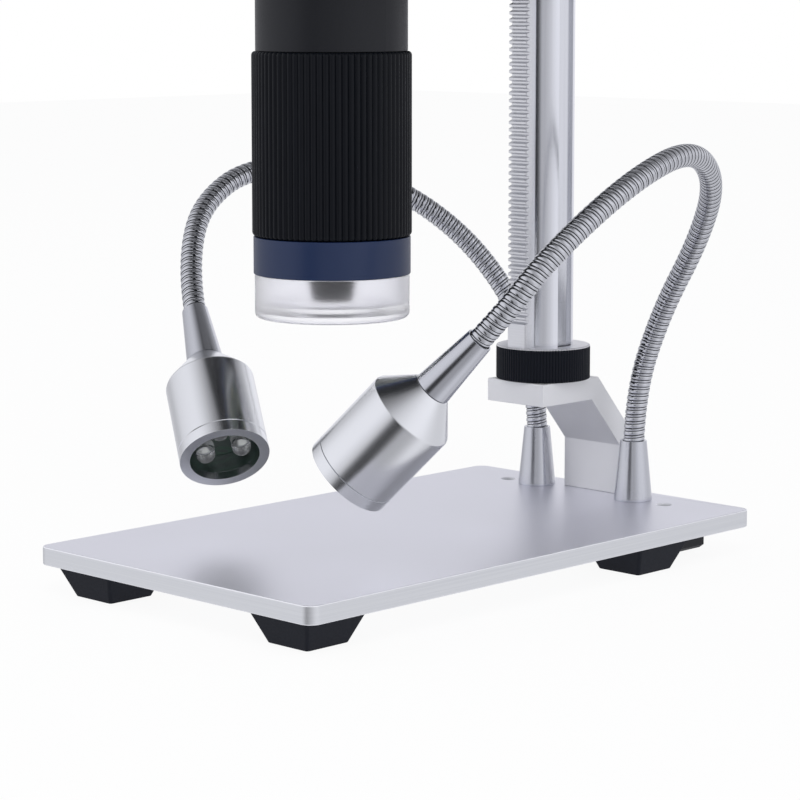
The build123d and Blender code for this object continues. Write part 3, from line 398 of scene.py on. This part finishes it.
milled, shader, wire = new_finish("rack_metal", Metallic=1.0)
mill_marks = grain(wire, 1500, stretch=(0.03, 1, 1), detail=2.0)
mill_marks.blend((0.72, 0.725, 0.745, 1), (0.86, 0.865, 0.885, 1)).to(shader, "Base Color")
(0.26 + 0.16 * mill_marks).to(shader, "Roughness")
rough_up(wire, shader, mill_marks, 0.00003, 0.6)
dress(milled, "rack")


def ribbed(name, radius, low, high, ribs, depth, edge, centre):
    """A closed round bar whose side is all round-topped ribs, its two rims drawn in a little."""
    steps, facets = 5, 6
    bar = add(bpy.ops.mesh.primitive_cylinder_add, name, vertices=ribs * facets, radius=radius,
              depth=high - low - 2 * edge, location=(centre[0], centre[1], (low + high) / 2))
    bpy.ops.object.mode_set(mode="EDIT")

    def step_of(v):
        turn = atan2(v.co.y - centre[1], v.co.x - centre[0]) / (2 * pi) * ribs * facets
        return min(round(turn) % facets, -round(turn) % facets)

    for step, share in ((0, 1.0), (1, 0.42), (2, 0.12)):
        pick(bar, "VERT", lambda v: step_of(v) == step)
        shrink = 1 - share * depth / radius
        bpy.ops.transform.resize(value=(shrink, shrink, 1), center_override=(centre[0], centre[1], 0))
    for side in (-1, 1):
        pick(bar, "FACE", lambda face: face.normal.z * side > 0.9)
        for step in range(steps):
            turn, after = pi / 2 * step / steps, pi / 2 * (step + 1) / steps
            rise = side * edge * (sin(after) - sin(turn))
            shrink = (radius - edge * (1 - cos(after))) / (radius - edge * (1 - cos(turn)))
            bpy.ops.mesh.extrude_region_move(TRANSFORM_OT_translate={"value": (0, 0, rise)})
            bpy.ops.transform.resize(value=(shrink, shrink, 1), center_override=(centre[0], centre[1], 0))
    bpy.ops.object.mode_set(mode="OBJECT")
    return bar


collar_radius = (collar_high.x - collar_low.x) / 2
collar_fit, bare_rim = 0.00002, 0.00045
collar = ribbed("collar", collar_radius, collar_low.z, collar_high.z, 96, 0.00030, 0.0005,
                (0, column_middle.y))
bore(collar, column_radius + collar_fit, (0, column_middle.y, collar_low.z - 0.001),
     (0, column_middle.y, collar_high.z + 0.001), 160)
only(collar)
bpy.ops.object.shade_smooth_by_angle(angle=radians(36))
collar_black, shader, wire = new_finish("collar_black", Specular_IOR_Level=0.15)
turning = grain(wire, 900, stretch=(1, 1, 3), detail=2.0)
position = wire.node("ShaderNodeTexCoord", output=3)
height = wire.node("ShaderNodeSeparateXYZ", None, {0: position}, output=2)
bare = wire.maths("GREATER_THAN", height, collar_high.z - bare_rim)
bare.blend((0.0050, 0.0065, 0.0110, 1), (0.84, 0.84, 0.86, 1)).to(shader, "Base Color")
bare.to(shader, "Metallic")
(0.30 + 0.15 * turning).to(shader, "Roughness")
rough_up(wire, shader, turning, 0.00002, 0.4)
fit(collar, "stand", collar_black, "black_metal", "column_collar")

black_metal, shader, wire = new_finish("black_metal", Specular_IOR_Level=0.3)
satin = grain(wire, 1800, detail=2.0)
grain(wire, 25).blend((0.0060, 0.0068, 0.0095, 1), (0.0095, 0.0105, 0.0140, 1)).to(shader, "Base Color")
(0.34 + 0.16 * satin).to(shader, "Roughness")
rough_up(wire, shader, satin, 0.00003, 0.5)
dress(black_metal, "column_cap", "carriage", "arm", "barrel")


# ---- Lamp sockets ----
# Two tapered sockets, turned from bright aluminium, hold the hoses on the plate. Their rims are
# broken by the tool, and the bore at the top is a close fit on the hose.
def turned(name, outline, steps, place):
    """Spins an outline of (radius, height) corners round its own +Z, then stands it in place."""
    piece = add(bpy.ops.mesh.primitive_plane_add, name, size=0.001)
    bpy.ops.object.mode_set(mode="EDIT")
    bpy.ops.mesh.select_mode(type="VERT")
    bpy.ops.mesh.select_all(action="SELECT")
    bpy.ops.mesh.merge(type="CENTER")
    bpy.ops.transform.translate(value=(outline[0][0], 0, outline[0][1]))
    for (r0, z0), (r1, z1) in zip(outline, outline[1:]):
        bpy.ops.mesh.extrude_region_move(TRANSFORM_OT_translate={"value": (r1 - r0, 0, z1 - z0)})
    bpy.ops.mesh.select_all(action="SELECT")
    bpy.ops.mesh.spin(steps=steps, angle=2 * pi, center=(0, 0, 0), axis=(0, 0, 1))
    bpy.ops.mesh.select_all(action="SELECT")
    bpy.ops.mesh.remove_doubles(threshold=0.000002)
    bpy.ops.mesh.normals_make_consistent(inside=False)
    bpy.ops.object.mode_set(mode="OBJECT")
    piece.matrix_world = place
    bpy.ops.object.transform_apply(location=True, rotation=True, scale=True)
    return piece


def turned_finish(name, place, colour=(0.87, 0.88, 0.90), roughness=0.16):
    """Bright metal with the fine rings that a lathe leaves round the axis of the place."""
    finish, shader, wire = new_finish(name, Metallic=1.0)
    axis = (place.to_3x3() @ Vector((0, 0, 1))).normalized()
    position = wire.node("ShaderNodeTexCoord", output=3)
    along = wire.node("ShaderNodeVectorMath", {"operation": "DOT_PRODUCT"},
                      {0: position, 1: axis}, output=1)
    rings = wire.node("ShaderNodeTexNoise", {"noise_dimensions": "1D"},
                      {"W": along, "Scale": 3800, "Detail": 2.0})
    smear = grain(wire, 90, detail=3.0)
    low = tuple(value * 0.94 for value in colour) + (1,)
    rings.blend(low, tuple(colour) + (1,)).to(shader, "Base Color")
    (roughness + 0.05 * rings + 0.04 * smear).to(shader, "Roughness")
    rough_up(wire, shader, rings, 0.00001, 0.12)
    return finish


socket_height = 0.020
socket_bottom, socket_top, socket_foot = 0.0063, 0.0044, 0.0008
hose_radius = 0.00355
hose_seat = 0.009
socket_bore = hose_radius + 0.00008
socket_metal = turned_finish("socket_metal", Matrix(), (0.64, 0.65, 0.69), 0.13)
for side in ("left", "right"):
    low, high = socket_boxes[side]
    foot = Matrix.Translation(((low.x + high.x) / 2, (low.y + high.y) / 2, plate_high.z))
    socket = turned(f"socket_{side}", [
        (0, 0), (socket_bottom, 0), (socket_bottom, socket_foot), (socket_top, socket_height),
        (socket_bore, socket_height), (socket_bore, socket_height - hose_seat),
        (0, socket_height - hose_seat)], 96, foot)
    soften(socket, 0.00012, 2)
    fit(socket, "stand", socket_metal, "bright_turned_metal", f"lamp_socket_{side}")


# ---- Hoses ----
# Two gooseneck hoses of bright steel: a wide and a narrow strip wound together. The deep joints
# between the turns are painted dark, as painted shade. They hold the shape in which they are bent.
lamp_seats = {"left": (-0.0618, -0.0337, 0.0662), "right": (0.0618, -0.0335, 0.0681)}
lamp_aims = {"left": (0.640, -0.368, -0.675), "right": (-0.647, -0.259, -0.717)}
hose_routes = {
    "left": [(-0.0213, 0.086, 0.0125), (-0.0213, 0.086, 0.0466), (-0.0386, 0.0775, 0.0792),
             (-0.0583, 0.0583, 0.1011), (-0.0747, 0.0326, 0.1102), (-0.0821, 0.0067, 0.1085),
             (-0.0819, -0.0096, 0.1001), (-0.0768, -0.0212, 0.0899)],
    "right": [(0.0213, 0.086, 0.0125), (0.0213, 0.086, 0.0345), (0.0292, 0.0896, 0.0626),
              (0.0465, 0.0874, 0.0883), (0.0646, 0.0725, 0.1091), (0.0779, 0.0437, 0.1211),
              (0.0835, 0.0089, 0.1135), (0.0772, -0.0195, 0.0934)],
}
hose_run_in = 0.0096
hose_reach = 0.004
rib_pitch = 0.00235
rib_depth = 0.00042
# One turn of the winding, as shares of the pitch and heights from the hose's outside: the wide
# strip's crown, a joint, the narrow strip's lower crown, and the next joint.
rib_outline = [(0.0, -rib_depth), (0.03, -0.00011), (0.15, 0.0), (0.40, 0.0), (0.53, -0.00011),
               (0.555, -rib_depth), (0.615, -rib_depth), (0.64, -0.00020), (0.72, -0.00013),
               (0.83, -0.00013), (0.90, -0.00020), (0.93, -rib_depth), (1.0, -rib_depth)]
shaded_groove_depth = 0.00028
hose_metal, shader, wire = new_finish("hose_metal", Metallic=1.0)
rub = grain(wire, 500, detail=3.0)
rub.blend((0.56, 0.57, 0.60, 1), (0.74, 0.75, 0.78, 1)).to(shader, "Base Color")
(0.11 + 0.12 * rub).to(shader, "Roughness")
rough_up(wire, shader, grain(wire, 3000, detail=2.0), 0.00001, 0.25)
# A dark finish for the bottoms of the deep joints between the turns: painted shade in the grooves.
hose_groove_shade, shader, wire = new_finish("hose_groove_shade", Metallic=0.6, Specular_IOR_Level=0.3)
groove_shade_grain = grain(wire, 900, detail=2.0)
groove_shade_grain.blend((0.045, 0.047, 0.053, 1), (0.085, 0.088, 0.095, 1)).to(shader, "Base Color")
(0.40 + 0.2 * groove_shade_grain).to(shader, "Roughness")
for side in ("left", "right"):
    lift = Vector((0, 0, plate_high.z))
    aim = Vector(lamp_aims[side]).normalized()
    seat = Vector(lamp_seats[side]) + lift
    points = [Vector(point) + lift for point in hose_routes[side]]
    points += [seat - aim * hose_run_in, seat + aim * hose_reach]
    line = bpy.data.curves.new(f"hose_line_{side}", "CURVE")
    line.dimensions = "3D"
    spline = line.splines.new("NURBS")
    spline.points.add(len(points) - 1)
    for control, point in zip(spline.points, points):
        control.co = (*point, 1)
    spline.order_u = 3
    spline.use_endpoint_u = True
    spline.resolution_u = 32
    line.twist_mode = "MINIMUM"
    path = bpy.data.objects.new(f"hose_path_{side}", line)
    bpy.context.scene.collection.objects.link(path)
    length = spline.calc_length()
    turns = round(length / rib_pitch)
    pitch = length / turns
    hose = add(bpy.ops.mesh.primitive_plane_add, f"gooseneck_{side}", size=0.001)
    bpy.ops.object.mode_set(mode="EDIT")
    bpy.ops.mesh.select_mode(type="VERT")
    bpy.ops.mesh.select_all(action="SELECT")
    bpy.ops.mesh.merge(type="CENTER")
    corners = [(0, hose_radius + dip, share * pitch) for share, dip in rib_outline]
    bpy.ops.transform.translate(value=corners[0])
    for here, there in zip(corners, corners[1:]):
        step = Vector(there) - Vector(here)
        bpy.ops.mesh.extrude_region_move(TRANSFORM_OT_translate={"value": step})
    bpy.ops.object.mode_set(mode="OBJECT")
    winding = hose.modifiers.new("winding", "SCREW")
    winding.axis = "Z"
    winding.angle = 2 * pi
    winding.screw_offset = pitch
    winding.iterations = turns - 1
    winding.steps = 28
    winding.render_steps = 28
    winding.use_merge_vertices = True
    winding.merge_threshold = 0.00001
    apply_modifiers(hose)
    hose.data.materials.append(hose_metal)
    hose.data.materials.append(hose_groove_shade)
    bpy.ops.object.mode_set(mode="EDIT")
    # The faces at the bottom of the deep joints get the painted shade finish.
    pick(hose, "FACE", lambda face: face.calc_center_median().xy.length < hose_radius - shaded_groove_depth)
    hose.active_material_index = 1
    bpy.ops.object.material_slot_assign()
    bpy.ops.object.mode_set(mode="OBJECT")
    bend = hose.modifiers.new("bend", "CURVE")
    bend.object = path
    bend.deform_axis = "POS_Z"
    apply_modifiers(hose)
    bpy.data.objects.remove(path)
    bpy.ops.object.mode_set(mode="EDIT")
    bpy.ops.mesh.select_all(action="SELECT")
    bpy.ops.mesh.remove_doubles(threshold=0.00001)
    bpy.ops.mesh.normals_make_consistent(inside=False)
    bpy.ops.object.mode_set(mode="OBJECT")
    bpy.ops.object.shade_smooth_by_angle(angle=radians(50))
    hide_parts(f"hose_{side}")
    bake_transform(hose)


# ---- Lamp heads ----
# A tapered neck, a cone and a drum turned from bright aluminium, and a front ring that presses in.
# Inside, three clear light-emitting diodes stand on a round green board, deep behind the ring.
neck_length, cone_length, drum_length, ring_length = 0.0210, 0.0095, 0.0252, 0.0037
neck_mouth, neck_end, drum_radius, ring_opening = 0.00415, 0.0058, 0.0139, 0.0108
drum_wall = 0.0016
neck_bore, neck_cup, neck_joint = hose_radius + 0.0001, 0.0048, 0.0001
ring_joint, ring_lip = 0.00001, 0.0012
back_wall, board_depth, board_thickness, board_fit = 0.004, 0.0105, 0.0014, 0.00008
shoulder = neck_length + cone_length
drum_end = shoulder + drum_length
lamp_end = drum_end + ring_length
diode_radius, diode_circle, diode_length = 0.0030, 0.0065, 0.0082
diode_turn = 46
# A diode stands on its flange and ends in a dome. The cup in it has a foot, a stem and a dish.
diode_outline = [(0, 0.0006), (diode_radius + 0.0003, 0.0006), (diode_radius + 0.0003, 0.0016),
                 (diode_radius, 0.0016)]
diode_outline += [(diode_radius * cos(radians(t)), diode_length - diode_radius * (1 - sin(radians(t))))
                  for t in range(0, 90, 15)]
diode_outline += [(0, diode_length)]
cup_outline = [(0, 0.0007), (0.0027, 0.0007), (0.0027, 0.0014), (0.0004, 0.0014), (0.0004, 0.0024),
               (0.0017, 0.0040), (0.0014, 0.0040), (0.0004, 0.0029), (0, 0.0029)]
clear_resin, shader, wire = new_finish("clear_resin", Base_Color=(0.80, 0.82, 0.83, 1), IOR=1.50,
                                       Transmission_Weight=0.90)
flow = grain(wire, 300, detail=1.0)
(0.02 + 0.04 * flow).to(shader, "Roughness")
rough_up(wire, shader, flow, 0.00002, 0.3)
diode_cup, shader, wire = new_finish("diode_cup", Metallic=1.0)
stamped = grain(wire, 1800, detail=2.0)
stamped.blend((0.56, 0.57, 0.56, 1), (0.78, 0.78, 0.76, 1)).to(shader, "Base Color")
(0.25 + 0.2 * stamped).to(shader, "Roughness")
for side in ("left", "right"):
    aim = Vector(lamp_aims[side]).normalized()
    across = aim.cross(Vector((0, 0, 1))).normalized()
    seat = Vector(lamp_seats[side]) + Vector((0, 0, plate_high.z))
    place = Matrix((across, aim.cross(across), aim)).transposed().to_4x4()
    place.translation = seat
    lamp_metal = turned_finish(f"lamp_metal_{side}", place)
    neck_metal = turned_finish(f"neck_metal_{side}", place, (0.64, 0.65, 0.69), 0.13)
    neck = turned(f"neck_{side}", [
        (neck_bore, 0), (neck_mouth, 0), (neck_end, neck_length - neck_joint),
        (0, neck_length - neck_joint), (0, neck_cup), (neck_bore, neck_cup)], 96, place)
    soften(neck, 0.0001, 2)
    fit(neck, f"lamp_{side}", neck_metal, "bright_turned_metal", f"lamp_neck_{side}")
    inner = drum_radius - drum_wall
    drum = turned(f"drum_{side}", [
        (0, neck_length), (neck_end, neck_length), (drum_radius, shoulder),
        (drum_radius, drum_end - ring_joint), (inner, drum_end - ring_joint),
        (inner, shoulder + back_wall), (0, shoulder + back_wall)], 128, place)
    soften(drum, 0.0003, 1, 20)
    fit(drum, f"lamp_{side}", lamp_metal, "bright_turned_metal", f"lamp_body_{side}")
    ring = turned(f"front_ring_{side}", [
        (inner, drum_end + ring_joint), (drum_radius, drum_end + ring_joint), (drum_radius, lamp_end),
        (ring_opening, lamp_end), (ring_opening, drum_end + ring_lip), (inner, drum_end + ring_lip),
        (inner, drum_end + ring_joint)], 128, place)
    soften(ring, 0.00006, 2)
    fit(ring, f"lamp_{side}", lamp_metal, "bright_turned_metal", f"lamp_ring_{side}")
    deck = lamp_end - board_depth
    board_radius = inner - board_fit
    board = turned(f"lamp_disc_{side}", [
        (0, deck - board_thickness), (board_radius, deck - board_thickness), (board_radius, deck),
        (0, deck)], 96, place)
    soften(board, 0.0001, 1)
    fit(board, f"lamp_{side}", board_green, "board_green", f"lamp_board_{side}")
    diodes, cups = [], []
    for number in range(3):
        spot = radians(diode_turn + 120 * number)
        stand = place @ Matrix.Translation((diode_circle * cos(spot), diode_circle * sin(spot), deck))
        diodes.append(turned(f"diode_{side}", diode_outline, 40, stand))
        cups.append(turned(f"cup_{side}", cup_outline, 24, stand))
    for group, finish in ((diodes, clear_resin), (cups, diode_cup)):
        only(group[0])
        for piece in group:
            piece.select_set(True)
        bpy.ops.object.join()
        joined = bpy.context.object
        bpy.ops.object.shade_smooth_by_angle(angle=radians(35))
        if finish is clear_resin:
            fit(joined, f"lamp_{side}", finish, "led_white", f"lamp_lenses_{side}")
        else:
            fit(joined, f"lamp_{side}", finish, "led_white")


# ---- Carriage, pinion and knobs ----
# The carriage is a machined block, anodised black, that slides on the column. The pinion's steel
# shaft turns in brass bushes in it, between two black knobs.
steel_gear, shader, wire = new_finish("gear_steel", Metallic=1.0)
hobbed = grain(wire, 1400, stretch=(0.05, 1, 1), detail=3.0)
hobbed.blend((0.44, 0.44, 0.45, 1), (0.62, 0.62, 0.63, 1)).to(shader, "Base Color")
(0.24 + 0.16 * hobbed).to(shader, "Roughness")
dress(steel_gear, "pinion_shaft")
brass, shader, wire = new_finish("bush_brass", Metallic=1.0)
bored = grain(wire, 1200, stretch=(0.1, 1, 1), detail=3.0)
bored.blend((0.60, 0.42, 0.17, 1), (0.78, 0.58, 0.27, 1)).to(shader, "Base Color")
(0.22 + 0.16 * bored).to(shader, "Roughness")
dress(brass, "pinion_bushes")
dress(black_metal, "lock_screw", "clamp_screw", "focus_knob_left", "focus_knob_right")


# ---- Focusing grip ----
# A sleeve of black anodised aluminium, cut with fine upright V grooves all round, that turns on
# the barrel and drives the lens cell through its cam.
grip_low, grip_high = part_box("focus_grip")
barrel_x = (grip_low.x + grip_high.x) / 2
barrel_y = (grip_low.y + grip_high.y) / 2
grip_radius = (grip_high.x - grip_low.x) / 2
grip_ribs, rib_cut, rim_round, grip_bore = 78, 0.00055, 0.0012, 0.02106
grip = ribbed("grip", grip_radius, grip_low.z, grip_high.z, grip_ribs, rib_cut, rim_round,
              (barrel_x, barrel_y))
bore(grip, grip_bore, (barrel_x, barrel_y, grip_low.z - 0.001),
     (barrel_x, barrel_y, grip_high.z + 0.001), 128)
only(grip)
bpy.ops.object.shade_smooth_by_angle(angle=radians(36))
grip_black, shader, wire = new_finish("grip_black", Specular_IOR_Level=0.15)
scuffs = grain(wire, 800, stretch=(1, 1, 0.15), detail=4.0)
scuffs.blend((0.0022, 0.0030, 0.0050, 1), (0.0042, 0.0052, 0.0080, 1)).to(shader, "Base Color")
(0.30 + 0.18 * scuffs).to(shader, "Roughness")
rough_up(wire, shader, scuffs, 0.00002, 0.4)
fit(grip, "focus_grip", grip_black, "black_metal", "focus_grip")


# ---- Nose: ring, frosted shade and what it lights ----
# A gloss navy ring under the grip carries a frosted shade, which spreads the light of eight
# diodes on a ring board. The lens snout reaches down through the middle of both.
ring_low, ring_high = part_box("nose_ring")
shade_low, shade_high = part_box("nose_shade")
nose_place = Matrix.Translation((barrel_x, barrel_y, 0))
nose_radius = (ring_high.x - ring_low.x) / 2
band_inside, band_top_hole, band_top_thickness = nose_radius - 0.0021, 0.0177, 0.0045
nose = turned("nose_band", [
    (band_inside, ring_low.z), (nose_radius, ring_low.z), (nose_radius, ring_high.z),
    (band_top_hole, ring_high.z), (band_top_hole, ring_high.z - band_top_thickness),
    (band_inside, ring_high.z - band_top_thickness), (band_inside, ring_low.z)], 160, nose_place)
soften(nose, 0.0003, 3)
navy, shader, wire = new_finish("navy_plastic", Specular_IOR_Level=0.4)
skin = grain(wire, 900, detail=3.0)
grain(wire, 30).blend((0.0075, 0.0185, 0.0600, 1), (0.0105, 0.0230, 0.0700, 1)).to(shader, "Base Color")
(0.29 + 0.08 * skin).to(shader, "Roughness")
rough_up(wire, shader, skin, 0.00002, 0.4)
fit(nose, "head", navy, "navy_plastic", "nose_ring")

shade_radius = (shade_high.x - shade_low.x) / 2
shade_wall = 0.0019
lip = 0.0016
lip_curve = [(shade_radius - lip + lip * sin(radians(turn)), shade_low.z + lip - lip * cos(radians(turn)))
             for turn in range(0, 91, 15)]
spigot_radius, spigot_wall = nose_radius - 0.0022, 0.0012
window_hole, window_under, window_top = 0.0120, shade_low.z + 0.0022, shade_low.z + 0.0044
seat_gap = 0.0001
shade = turned("frosted_shade", [
    (window_hole, window_under), (shade_radius - shade_wall, window_under),
    (shade_radius - shade_wall, shade_low.z), *lip_curve,
    (shade_radius, ring_low.z - seat_gap), (spigot_radius, ring_low.z - seat_gap),
    (spigot_radius, shade_high.z - seat_gap), (spigot_radius - spigot_wall, shade_high.z - seat_gap),
    (spigot_radius - spigot_wall, window_top), (window_hole, window_top),
    (window_hole, window_under)], 160, nose_place)
soften(shade, 0.0005, 3)
frosted, shader, wire = new_finish("frosted_plastic", IOR=1.23, Transmission_Weight=0.97,
                                   Specular_IOR_Level=0.5)
haze = grain(wire, 2200, detail=2.0, roughness=0.6)
haze.blend((0.95, 0.95, 0.995, 1), (0.97, 0.97, 1.0, 1)).to(shader, "Base Color")
(0.22 + 0.26 * haze).to(shader, "Roughness")
rough_up(wire, shader, haze, 0.00002, 0.4)
fit(shade, "head", frosted, "frosted_plastic", "nose_shade")

white_diode, shader, wire = new_finish("white_diode", Specular_IOR_Level=0.5)
resin = grain(wire, 2500)
resin.blend((0.80, 0.74, 0.40, 1), (0.90, 0.86, 0.58, 1)).to(shader, "Base Color")
(0.25 + 0.2 * resin).to(shader, "Roughness")
dress(white_diode, "nose_leds")
lens_glass, shader, wire = new_finish("lens_glass", Base_Color=(0.97, 0.98, 0.99, 1), IOR=1.52,
                                      Transmission_Weight=1.0)
polish = grain(wire, 300)
(0.01 + 0.02 * polish).to(shader, "Roughness")
dress(lens_glass, "lenses")
dress(black_metal, "lens_cell")


# ---- Head housing, hinge and screen ----
# Moulded black shells: a foot that turns on the barrel, two ears with the hinge, and a screen
# whose two halves are screwed together round the board, the battery and the display.
dress(black_plastic, "head_housing", "screen_front", "screen_back")
rubber_button, shader, wire = new_finish("button_rubber", Specular_IOR_Level=0.35)
matt = grain(wire, 2400, detail=2.0)
matt.blend((0.030, 0.031, 0.034, 1), (0.048, 0.049, 0.053, 1)).to(shader, "Base Color")
(0.50 + 0.2 * matt).to(shader, "Roughness")
rough_up(wire, shader, matt, 0.00003, 0.5)
dress(rubber_button, *(f"button_{name}" for name in ("power", "menu", "up", "down", "capture")))
window, shader, wire = new_finish("screen_glass", Base_Color=(0.98, 0.99, 1.0, 1), IOR=1.33,
                                  Transmission_Weight=1.0)
smear = grain(wire, 40, detail=4.0)
(0.01 + 0.02 * smear).to(shader, "Roughness")
dress(window, "screen_glass")
dark_panel, shader, wire = new_finish("panel_dark", Specular_IOR_Level=0.12)
cells = grain(wire, 60, detail=1.0)
cells.blend((0.0030, 0.0034, 0.0045, 1), (0.0042, 0.0046, 0.0060, 1)).to(shader, "Base Color")
(0.12 + 0.05 * cells).to(shader, "Roughness")
dress(dark_panel, "screen_panel")
wrap, shader, wire = new_finish("battery_wrap", Specular_IOR_Level=0.5)
crease = grain(wire, 260, detail=4.0)
crease.blend((0.38, 0.38, 0.40, 1), (0.50, 0.50, 0.52, 1)).to(shader, "Base Color")
(0.30 + 0.2 * crease).to(shader, "Roughness")
rough_up(wire, shader, crease, 0.00008, 0.5)
dress(wrap, "screen_battery")


# ---- Camera ----
# The camera looks from the right front, a little above the plate.
eye = Vector((0.59155, -0.60932, 0.18398))
forward = Vector((-0.69341, 0.71057, -0.11944)).normalized()
view = bpy.data.cameras.new("camera")
view.lens = 123.0
view.sensor_width = 36.0
view.shift_y = -0.1026
view.clip_start = 0.01
camera = bpy.data.objects.new("camera", view)
camera.location = eye
camera.rotation_euler = forward.to_track_quat("-Z", "Y").to_euler()
bpy.context.scene.collection.objects.link(camera)
bpy.context.scene.camera = camera
bpy.context.scene.view_settings.view_transform = "Standard"


# ---- Table and light ----
# A plain white table in a studio that is pale to above head height and darker at its ceiling. A
# narrow black flag in front draws a dark line down polished metal.
table = add(bpy.ops.mesh.primitive_plane_add, "table", size=6)
white, shader, wire = new_finish("table_white", Roughness=0.7, Specular_IOR_Level=0.2)
grain(wire, 60).blend((0.79, 0.79, 0.79, 1), (0.81, 0.81, 0.81, 1)).to(shader, "Base Color")
camera_ray = wire.node("ShaderNodeLightPath", output=0)
through = wire.node("ShaderNodeLightPath", output="Is Transmission Ray")
glow = wire.node("ShaderNodeEmission", None, {"Color": (1, 1, 1, 1), "Strength": 1.0})
surface = Wire(wire.tree, shader.outputs["BSDF"])
share = wire.maths("MAXIMUM", camera_ray, through) * 0.93
wire.node("ShaderNodeMixShader", None, {0: share, 1: surface, 2: glow}).to(
    white.node_tree.nodes["Material Output"], "Surface")
table.data.materials.append(white)
table.visible_glossy = False

studio = bpy.data.worlds.new("studio")
studio.use_nodes = True
bpy.context.scene.world = studio
wire = Wire(studio.node_tree)
place = wire.node("ShaderNodeTexCoord", output=0)
east, north, rise = (wire.node("ShaderNodeSeparateXYZ", None, {0: place}, output=axis)
                     for axis in range(3))
bearing = wire.maths("ARCTAN2", north, east) * (0.5 / pi) + 0.5


def sky(*stops):
    """Brightness by elevation in degrees."""
    shares = [(0.5 + 0.5 * sin(radians(elevation)), value) for elevation, value in stops]
    return wire.node("ShaderNodeValToRGB", {"stops": shares}, {0: rise * 0.5 + 0.5})


def round_the_room(*stops):
    """A value by the bearing in degrees, from -180 through the front at -90 to 180."""
    shares = [(0.5 + turn / 360, value) for turn, value in stops]
    return wire.node("ShaderNodeValToRGB", {"stops": shares}, {0: bearing})


open_sides = sky((-90, 0.80), (-6, 0.80), (6, 0.93), (42, 0.88), (52, 0.76), (62, 0.58), (70, 0.40),
                 (80, 0.24), (90, 0.14))
behind = sky((-90, 0.80), (-6, 0.80), (4, 0.92), (20, 0.86), (28, 0.58), (38, 0.36), (54, 0.24),
             (74, 0.18), (90, 0.16))
side = round_the_room((-180, 0.8), (-165, 1.0), (10, 1.0), (45, 0.0), (160, 0.0), (180, 0.8))
strength = round_the_room((-180, 0.66), (-165, 0.82), (-148, 0.96), (-136, 1.0), (-112, 1.0),
                          (-95, 0.88), (-72, 0.62), (-46, 0.58), (-28, 0.75), (-8, 1.0), (20, 1.05),
                          (50, 0.88), (75, 0.88), (105, 1.0), (145, 1.0), (165, 0.72), (180, 0.66))
flag = (sky((-52, 0.0), (-42, 1.0), (0, 1.0), (12, 0.0)) *
        round_the_room((-92, 0.0), (-85, 1.0), (-70, 1.0), (-62, 0.0)))
dimmed = strength * (1 - 0.93 * flag)
seen_in_metal = wire.node("ShaderNodeMix", {"data_type": "RGBA", "blend_type": "MULTIPLY"},
                          {0: 1.0, 6: side.blend(behind, open_sides), 7: dimmed}, output=2)
seen_directly = wire.maths("MAXIMUM", wire.node("ShaderNodeLightPath", output=0),
                           wire.node("ShaderNodeLightPath", output="Is Transmission Ray"))
in_gloss = wire.node("ShaderNodeLightPath", output="Is Glossy Ray")
cool = wire.node("ShaderNodeMix", {"data_type": "RGBA", "blend_type": "MULTIPLY"},
                 {0: 1.0, 6: seen_in_metal, 7: (0.985, 0.99, 1.045, 1)}, output=2)
light = in_gloss.blend((0.735, 0.74, 0.765, 1), cool)
background = studio.node_tree.nodes["Background"]
seen_directly.blend(light, (1, 1, 1, 1)).to(background, "Color")
background.inputs["Strength"].default_value = 1.0

for name, spot, size, power in (
        ("key", (0.9, -0.9, 1.3), 0.9, 13.0), ("fill", (-1.2, -0.5, 0.9), 1.0, 4.0)):
    lamp = bpy.data.lights.new(name, "AREA")
    lamp.size = size
    lamp.energy = power
    holder = bpy.data.objects.new(name, lamp)
    holder.location = spot
    holder.rotation_euler = (Vector((0, 0, 0.1)) - Vector(spot)).to_track_quat("-Z", "Y").to_euler()
    holder.visible_glossy = False
    bpy.context.scene.collection.objects.link(holder)
